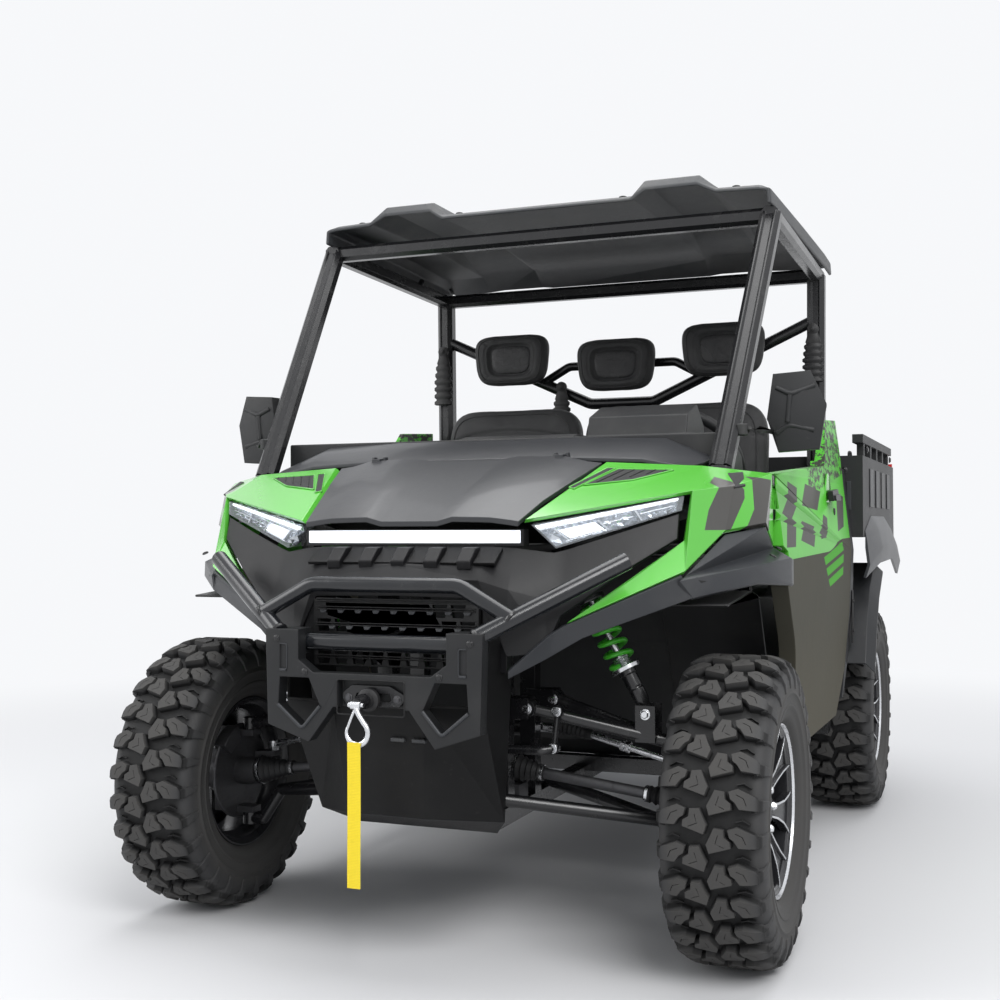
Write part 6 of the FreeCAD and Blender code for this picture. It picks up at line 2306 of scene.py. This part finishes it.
    def teeth(self) -> None:
        """Broad teeth over the fascia's ribs, and near-black plates between them, painted shade in the pockets."""
        tooth = [(-0.2880, 0.9332), (-0.3150, 0.9316), (-0.3490, 0.9025), (-0.3450, 0.8835), (-0.2890, 0.9215)]
        blocks = [hulled([at(x + side, y, z) for side in (-0.0165, 0.0165) for y, z in tooth])
                  for x in (-0.160, -0.080, 0.0, 0.080, 0.160)]
        # near-black plates that stand for the shade in the pockets between the teeth: painted shade
        shade_pockets = []
        for x0, x1 in ((-0.2300, -0.1800), (-0.1400, -0.1000), (-0.0600, -0.0200), (0.0200, 0.0600), (0.1000, 0.1400),
                       (0.1800, 0.2300)):
            shade_pockets.append(plate([at(x0, -0.2905, 0.9315), at(x1, -0.2905, 0.9315), at(x1, -0.3395, 0.8990),
                                  at(x0, -0.3395, 0.8990)], (0.0, 0.004, -0.006)))
        self.put("fascia_teeth", blocks, FASCIA_BLACK, "chassis", 0.0025, 3)
        self.put("fascia_pockets", shade_pockets, SKID_BLACK)

    def build(self) -> None:
        """Round and finish the nose."""
        self.soften("fascia", "chassis", FASCIA_BLACK, 0.005)
        self.soften("grille", "chassis", BLACK_MOULD, 0.0015)
        self.soften("bumper", "chassis", BUMPER_BLACK, 0.006, 3)
        self.soften("skid_plate", "chassis", SKID_BLACK, 0.004)
        self.dress("brush_guard", GUARD_BLACK)
        self.teeth()
        self.louvres()
        self.fairlead()
        self.hook()
        self.bumper_details()
        self.guard_caps()
        self.strap()


@dataclass
class Panels(Assembly):
    """Coloured body panels, roof, flares, mirrors and their trim."""

    edge: float = 0.006

    def vents(self) -> None:
        """Dark vent strip and triangle sunk into each fender beside the hood, with a fine mesh."""
        strip = [(0.322, -0.112, 1.0655), (0.337, -0.120, 1.0620), (0.399, 0.004, 1.1130), (0.379, 0.004, 1.1140)]
        triangle = [(0.353, -0.098, 1.0710), (0.407, -0.002, 1.1105), (0.537, 0.010, 1.1060), (0.457, -0.056, 1.0820)]
        meshes, rims = [], []
        for outline in (strip, triangle):
            points = [moved(at(x, y, z), (0, -0.0006, 0.0014)) for x, y, z in outline]
            meshes.append(plate(points, (0, 0.002, -0.006)))
            rims.append(ringed(rounded_loop(points, 0.004, 3), 0.0017, 8))
        ribs = []
        for step in range(5):
            t = (step + 0.7) / 5.4
            low = Vector(at(*triangle[0])).lerp(Vector(at(*triangle[2])), t)
            high = Vector(at(*triangle[1])).lerp(Vector(at(*triangle[2])), t)
            ends = [tuple(low.lerp(high, share) + Vector((0, -0.0006, 0.002))) for share in (0.05, 0.95)]
            ribs.append(swept(ends, 0.0013, 6))
        self.put("fender_vents", both_sides(meshes), VENT_BLACK)
        self.put("vent_ribs", both_sides(ribs), BLACK_MOULD)
        self.put("vent_rims", both_sides(rims), GREEN_PANEL)

    def fender_caps(self) -> None:
        """Dark cap at the rear top corner of each fender and a dark plate on each flare tip, painted shade of a recess.
        """
        cap = [at(0.655, 0.052, 1.1005), at(0.684, 0.082, 1.1035), at(0.700, 0.034, 1.0690),
               at(0.684, -0.002, 1.0650)]
        self.put("fender_caps", both_sides([plate(cap, (-0.008, 0.004, -0.006))]), VENT_BLACK, "chassis", 0.002)
        # painted shade: a dark plate stands for the shade in a recess on each flare tip
        recess_shade_plate = [at(0.618, -0.152, 0.8650), at(0.628, -0.124, 0.8745), at(0.652, -0.112, 0.8560),
                at(0.636, -0.136, 0.8560)]
        self.put("flare_marks", both_sides([plate(recess_shade_plate, (-0.004, 0.004, -0.006))]), BLACK_MOULD, "chassis", 0.0015)

    def flare_bolts(self) -> None:
        """Push rivets along the top of the front flares."""
        heads = []
        for x, y, z in ((0.760, 0.030, 0.9080), (0.757, 0.120, 0.9240)):
            heads.append(spun([(0.0, 0.0085), (0.0025, 0.0085), (0.0040, 0.0060)], at(x, y, z),
                              at(x + 0.5, y, z + 1), 20))
        self.put("flare_rivets", both_sides(heads), BLACK_MOULD)

    def door_trim(self, side: Side) -> None:
        """Handle with its lock, in its dish, of one door.

        Args:
            side: the door's side.
        """
        grip = [at(0.752, 0.945, 1.078), at(0.752, 1.060, 1.086), at(0.756, 1.062, 1.054), at(0.756, 0.947, 1.048)]
        shell = plate(grip, (0.016, 0.0, 0.001))
        lever = plate([at(0.762, 0.955, 1.066), at(0.762, 1.052, 1.072), at(0.764, 1.052, 1.052),
                       at(0.764, 0.955, 1.050)], (0.014, 0.0, 0.0))
        dish = []
        for scale, sink in ((1.0, 0.0), (0.93, 0.0012)):
            line = [at(0.7475 + sink, 1.000 + 0.050 * scale * math.cos(a), 1.060 + 0.066 * scale * math.sin(a) * 1.1)
                    for a in turns(40)]
            dish.append(line)
        bowl = lofted([[(p[0] - 0.004, p[1], p[2]) for p in dish[0]], dish[0], dish[1]])
        lock = spun([(0.0, 0.011), (0.006, 0.011), (0.008, 0.009)], at(0.748, 1.085, 1.020), at(1.0, 1.085, 1.020), 24)
        body = f"door_{side.word}"
        for word, parts, finish, width in (("handle", [shell, lever, lock], BLACK_MOULD, 0.004),
                                           ("dish", [bowl], GREEN_PANEL, 0.0)):
            kept = parts if side is Side.LEFT else mirrored(parts)
            self.put(f"door_{word}_{side.word}", kept, finish, body, width, 3)

    def flaps(self) -> None:
        """Access flap on each side panel with two round heads on it."""
        flap = [at(0.7605, 1.400, 0.770), at(0.7605, 1.428, 0.770), at(0.7605, 1.428, 0.600), at(0.7605, 1.400, 0.600)]
        parts = [plate(flap, (0.004, 0, 0))]
        for z in (0.735, 0.640):
            parts.append(spun([(0.0, 0.0065), (0.003, 0.0065), (0.004, 0.005)], at(0.7640, 1.414, z),
                              at(1.0, 1.414, z), 20))
        self.put("side_flaps", both_sides(parts), BLACK_MOULD, "chassis", 0.0015)

    def mirror_ribs(self) -> None:
        """Raised ridges and the folding joint of the mirror shells, and the glass behind."""
        rings = []
        for line in ([(0.724, 0.2900, 1.318), (0.758, 0.2860, 1.300), (0.815, 0.3040, 1.322)],
                     [(0.758, 0.2860, 1.298), (0.752, 0.2855, 1.232)],
                     [(0.724, 0.2930, 1.205), (0.752, 0.2890, 1.226), (0.812, 0.3070, 1.212)]):
            rings.append(swept(rounded_path([at(x, y + 0.003, z) for x, y, z in line], 0.012, 4), 0.0068, 12))
        joint = spun([(-0.014, 0.013), (-0.012, 0.0155), (0.012, 0.0155), (0.014, 0.013)], at(0.662, 0.176, 1.208),
                     at(0.662, 0.176, 2.0), 28)
        rings.append(joint)
        glass = [at(0.716, 0.343, 1.338), at(0.800, 0.350, 1.344), at(0.830, 0.364, 1.272), at(0.814, 0.364, 1.180),
                 at(0.730, 0.350, 1.176), at(0.708, 0.343, 1.240)]
        pane = plate([moved(point, (0, -0.006, 0)) for point in glass], (0, -0.004, 0))
        self.put("mirror_ribs", both_sides(rings), CAB_MOULD)
        self.put("mirror_glass", both_sides([pane]), MIRROR_GLASS)

    def roof_details(self) -> None:
        """Grab rails under the roof edges and the screws of the roof skin."""
        heads = []
        line = [at(0.650, 0.70, 1.838), at(0.650, 0.73, 1.806), at(0.654, 1.14, 1.800), at(0.654, 1.17, 1.832)]
        rail = swept(rounded_path(line, 0.025, 6), 0.0095, 14)
        for x, y, z in ((0.250, 0.575, 1.8985), (0.570, 0.575, 1.8965), (0.250, 1.360, 1.8890), (0.570, 1.360, 1.8860)):
            heads.append(spun([(-0.002, 0.011), (0.003, 0.011), (0.0045, 0.008)], at(x, y, z), at(x, y, z + 1), 20))
        self.put("grab_rails", both_sides([rail]), BLACK_STEEL)
        self.put("roof_screws", both_sides(heads), BLACK_MOULD)

    def build(self) -> None:
        """Round and finish the panels."""
        for side in Side:
            self.soften(f"fender_{side.word}", "chassis", GREEN_CAMO, self.edge, 3)
            self.soften(f"door_{side.word}", f"door_{side.word}", TWO_TONE, self.edge, 3)
            self.door_trim(side)
        self.soften("hood", "hood", CHARCOAL, self.edge, 3)
        self.soften("roof", "chassis", ROOF_SKIN, 0.010, 3)
        self.soften("front_flares", "chassis", FLARE_GREY, self.edge)
        self.soften("rear_flares", "cargo_bed", FLARE_GREY, self.edge)
        self.soften("side_panels", "chassis", SIDE_BLACK, self.edge)
        self.soften("arch_liners", "chassis", BLACK_MOULD, 0.004)
        self.soften("cowl", "chassis", CHARCOAL, 0.005)
        self.soften("mirrors", "chassis", CAB_MOULD, 0.008, 3)
        self.vents()
        self.fender_caps()
        self.flare_bolts()
        self.flaps()
        self.mirror_ribs()
        self.roof_details()


@dataclass
class Cargo(Assembly):
    """Cargo bed, tailgate, tail lamps and their trim."""

    rib_half: float = 0.014
    floor_z: float = 0.9415
    wall_x: float = 0.7960
    front_y: float = 1.4385
    panel_starts: tuple[float, ...] = (1.62, 1.80, 1.98, 2.16)
    panel_wide: float = 0.100

    def ribs(self) -> None:
        """Pressed ribs on the bed's floor, panels on its walls and a slot at each front corner."""
        half, z = self.rib_half, self.floor_z
        floor = [plate([at(x - half, 1.520, z), at(x + half, 1.520, z), at(x + half, 2.360, z), at(x - half, 2.360, z)],
                       (0, 0, 0.006))
                 for x in (-0.56, -0.42, -0.28, -0.14, 0.0, 0.14, 0.28, 0.42, 0.56)]
        self.put("bed_floor_ribs", floor, CAB_MOULD, "cargo_bed", 0.003, 2)
        wall = []
        for y in self.panel_starts:
            wall.append(plate([at(self.wall_x, y, 1.040), at(self.wall_x, y + self.panel_wide, 1.040),
                               at(self.wall_x, y + self.panel_wide, 1.170), at(self.wall_x, y, 1.170)],
                              (0.0035, 0, 0)))
        self.put("bed_side_panels", both_sides(wall), SIDE_BLACK, "cargo_bed", 0.003, 2)
        corners_of_slot = ((0.744, 1.030), (0.758, 1.030), (0.758, 1.122), (0.744, 1.122))
        slot = plate([at(x, self.front_y, z) for x, z in corners_of_slot], (0, -0.003, 0))
        self.put("bed_slots", both_sides([slot]), FLARE_GREY, "cargo_bed", 0.001, 2)

    def fixings(self) -> None:
        """Bolts on the bed's front corners and rails, and tie-down loops."""
        heads, loops = [], []
        for x, y, z, way in ((0.738, 1.438, 1.157, (0, -1, 0)), (0.700, 1.438, 1.000, (0, -1, 0)),
                             (0.796, 1.560, 1.230, (1, 0, 0)), (0.796, 2.300, 1.230, (1, 0, 0))):
            heads += bolt(at(x, y, z), way, 0.0085, 0.005)
        for y in (1.60, 2.26):
            line = [at(0.735, y - 0.026, 1.200), at(0.735, y - 0.026, 1.226), at(0.735, y + 0.026, 1.226),
                    at(0.735, y + 0.026, 1.200)]
            loops.append(swept(rounded_path(line, 0.012, 5), 0.0045, 12))
        self.put("bed_bolts", both_sides(heads), BLACK_STEEL, "cargo_bed", smooth=25.0)
        self.put("bed_loops", both_sides(loops), BLACK_STEEL, "cargo_bed")

    def gate(self) -> None:
        """Latch handle of the tailgate in its cup."""
        cup = ringed(rounded_loop([at(x, 2.4300, z) for x, z in ((-0.105, 1.130), (0.105, 1.130), (0.095, 1.186),
                                                                 (-0.095, 1.186))], 0.015, 4), 0.0045, 10)
        grip = plate([at(x, 2.4310, z) for x, z in ((-0.080, 1.142), (0.080, 1.142), (0.074, 1.172), (-0.074, 1.172))],
                     (0, 0.010, 0))
        self.put("gate_handle", [cup, grip], BLACK_MOULD, "tailgate", 0.003)

    def lamps(self) -> None:
        """Ribs on the red tail lamps."""
        self.dress("tail_lamps", TAIL_RED)
        low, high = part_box("tail_lamps")
        bars, near = [], high.y - 0.0004
        for step in range(7):
            z = low.z + (high.z - low.z) * (step + 0.7) / 7.4
            bars.append(plate([(0.725, near, z), (high.x - 0.004, near, z), (high.x - 0.004, near, z + 0.007),
                               (0.725, near, z + 0.007)], (0, 0.0016, 0)))
        self.put("tail_lamp_ribs", both_sides(bars), TAIL_RED, "cargo_bed")

    def build(self) -> None:
        """Round and finish the bed."""
        self.soften("bed", "cargo_bed", BED_BLACK, 0.005)
        self.soften("tailgate", "tailgate", BED_BLACK, 0.005)
        self.ribs()
        self.fixings()
        self.gate()
        self.lamps()


@dataclass
class Structure(Assembly):
    """Frame, cage and brace."""

    edge: float = 0.004

    def build(self) -> None:
        """Round and coat the steel."""
        for name in ("frame", "cage", "rear_brace"):
            self.soften(name, "chassis", BLACK_STEEL, self.edge)
        self.dress("floor_pan", CAB_MOULD)
        self.dress("powertrain", CAST)


# Studio


@dataclass(frozen=True)
class Viewpoint:
    """The photograph's viewpoint, solved from the vehicle's own points."""

    place: Point = (1.3107, -3.9334, 0.9750)
    yaw: float = 21.948
    pitch: float = 1.198
    roll: float = -0.195
    lens: float = 47.742

    def build(self) -> None:
        """Make the camera and set it as the scene's."""
        data = bpy.data.cameras.new("viewpoint")
        data.lens = self.lens
        data.sensor_width = 36.0
        data.sensor_height = 36.0
        data.clip_end = 200.0
        camera = linked("viewpoint", data)
        yaw, pitch = math.radians(self.yaw), math.radians(self.pitch)
        look = Vector((-math.sin(yaw) * math.cos(pitch), math.cos(yaw) * math.cos(pitch), math.sin(pitch)))
        turn = look.to_track_quat("-Z", "Y") @ Matrix.Rotation(math.radians(self.roll), 4, "Z").to_quaternion()
        camera.rotation_mode = "QUATERNION"
        camera.rotation_quaternion = turn
        camera.location = self.place
        bpy.context.scene.camera = camera


@dataclass(frozen=True)
class Studio:
    """Plain pale floor, pale world and soft lamps, each with its name, place, side in metres and watts."""

    floor_half: float = 60.0
    floor_colour: Colour = (0.62, 0.62, 0.63, 1.0)
    sky: Colour = (0.90, 0.93, 0.97, 1.0)
    seen: Colour = (0.93, 0.94, 0.96, 1.0)
    sky_strength: float = 0.55
    lamps: tuple[tuple[str, Point, float, float], ...] = (
        ("key_lamp", (4.0, -5.0, 5.5), 4.0, 420.0), ("fill_lamp", (-5.5, -4.0, 3.6), 4.5, 210.0),
        ("top_lamp", (0.0, 0.5, 6.5), 6.0, 330.0))

    def build(self) -> None:
        """Make the floor, the world and the lamps."""
        mesh = bpy.data.meshes.new("floor")
        half = self.floor_half
        mesh.from_pydata([(-half, -half, 0), (half, -half, 0), (half, half, 0), (-half, half, 0)], [], [(0, 1, 2, 3)])
        mesh.materials.append(self.floor_finish())
        linked("studio_floor", mesh)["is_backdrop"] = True
        self.world()
        for name, place, size, power in self.lamps:
            self.lamp(name, place, size, power)

    def floor_finish(self) -> bpy.types.Material:
        """Pale floor near the vehicle that fades into the sky's own white further out."""
        net = Net("studio_floor")
        x, y = net.axis("X"), net.axis("Y")
        far = (x * x + y * y) ** 0.5
        paint = net.node("ShaderNodeBsdfPrincipled", None, {"Base Color": self.floor_colour, "Roughness": 0.9,
                                                            "Specular IOR Level": 0.1})
        glow = net.node("ShaderNodeEmission", None, {"Color": self.seen, "Strength": 1.0})
        mixed = net.node("ShaderNodeMixShader", None, {0: far.ramp(1.6, 5.5), 1: paint["BSDF"], 2: glow["Emission"]})
        net.node("ShaderNodeOutputMaterial", None, {"Surface": mixed["Shader"]})
        return net.material

    def world(self) -> None:
        """Pale surroundings: soft light on the object, a paler sky to the camera, to metal and through glass."""
        world = bpy.data.worlds.new("surroundings")
        world.use_nodes = True
        tree = world.node_tree
        tree.nodes.clear()
        light, seen = (tree.nodes.new("ShaderNodeBackground") for _ in range(2))
        for node, colour, strength in ((light, self.sky, self.sky_strength), (seen, self.seen, 1.0)):
            node.inputs["Color"].default_value = colour
            node.inputs["Strength"].default_value = strength
        path = tree.nodes.new("ShaderNodeLightPath")
        mix = tree.nodes.new("ShaderNodeMixShader")
        out = tree.nodes.new("ShaderNodeOutputWorld")
        rays: bpy.types.NodeSocket = path.outputs["Is Camera Ray"]
        for kind in ("Is Glossy Ray", "Is Transmission Ray"):
            either = tree.nodes.new("ShaderNodeMath")
            either.operation = "MAXIMUM"
            tree.links.new(rays, either.inputs[0])
            tree.links.new(path.outputs[kind], either.inputs[1])
            rays = either.outputs[0]
        tree.links.new(rays, mix.inputs[0])
        tree.links.new(light.outputs[0], mix.inputs[1])
        tree.links.new(seen.outputs[0], mix.inputs[2])
        tree.links.new(mix.outputs[0], out.inputs["Surface"])
        bpy.context.scene.world = world

    def lamp(self, name: str, place: Point, size: float, power: float) -> None:
        """One square soft lamp that faces the vehicle.

        Args:
            name: its name.
            place: where it stands.
            size: its side in metres.
            power: its power in watts.
        """
        data = bpy.data.lights.new(name, "AREA")
        data.shape = "SQUARE"
        data.size = size
        data.energy = power
        lamp = linked(name, data)
        lamp.location = place
        lamp.rotation_mode = "QUATERNION"
        lamp.rotation_quaternion = (Vector((0, 0, 0.9)) - Vector(place)).to_track_quat("-Z", "Y")


def corners() -> list[list[float]]:
    """The shown object's lowest and highest corner, as plain lists."""
    return [list(corner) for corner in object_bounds()]


def main() -> None:
    """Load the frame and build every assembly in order."""
    logging.basicConfig(level=logging.INFO, format="%(message)s")
    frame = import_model()
    bpy.context.scene.view_settings.view_transform = "Standard"
    Viewpoint().build()
    Studio().build()
    repeats = repeat_tree()
    groups: list[Assembly] = []
    for side in Side:
        groups.append(Wheel(frame, corner=f"front_{side.word}", side=side, repeats=repeats))
        groups.append(Wheel(frame, corner=f"rear_{side.word}", side=side, half=0.125, rim_half=0.1015,
                            repeats=repeats))
    groups += [assembly(frame) for assembly in (Structure, Panels, Lamps, Running, Seats, Cabin, Cargo)]
    groups.append(Nose(frame, repeats=repeats))
    groups.append(Shock(frame, coils=coil_tree()))
    for group in groups:
        group.build()
        LOG.info("%s: %d pieces", type(group).__name__, len(group.made))


if __name__ == "__main__":
    main()
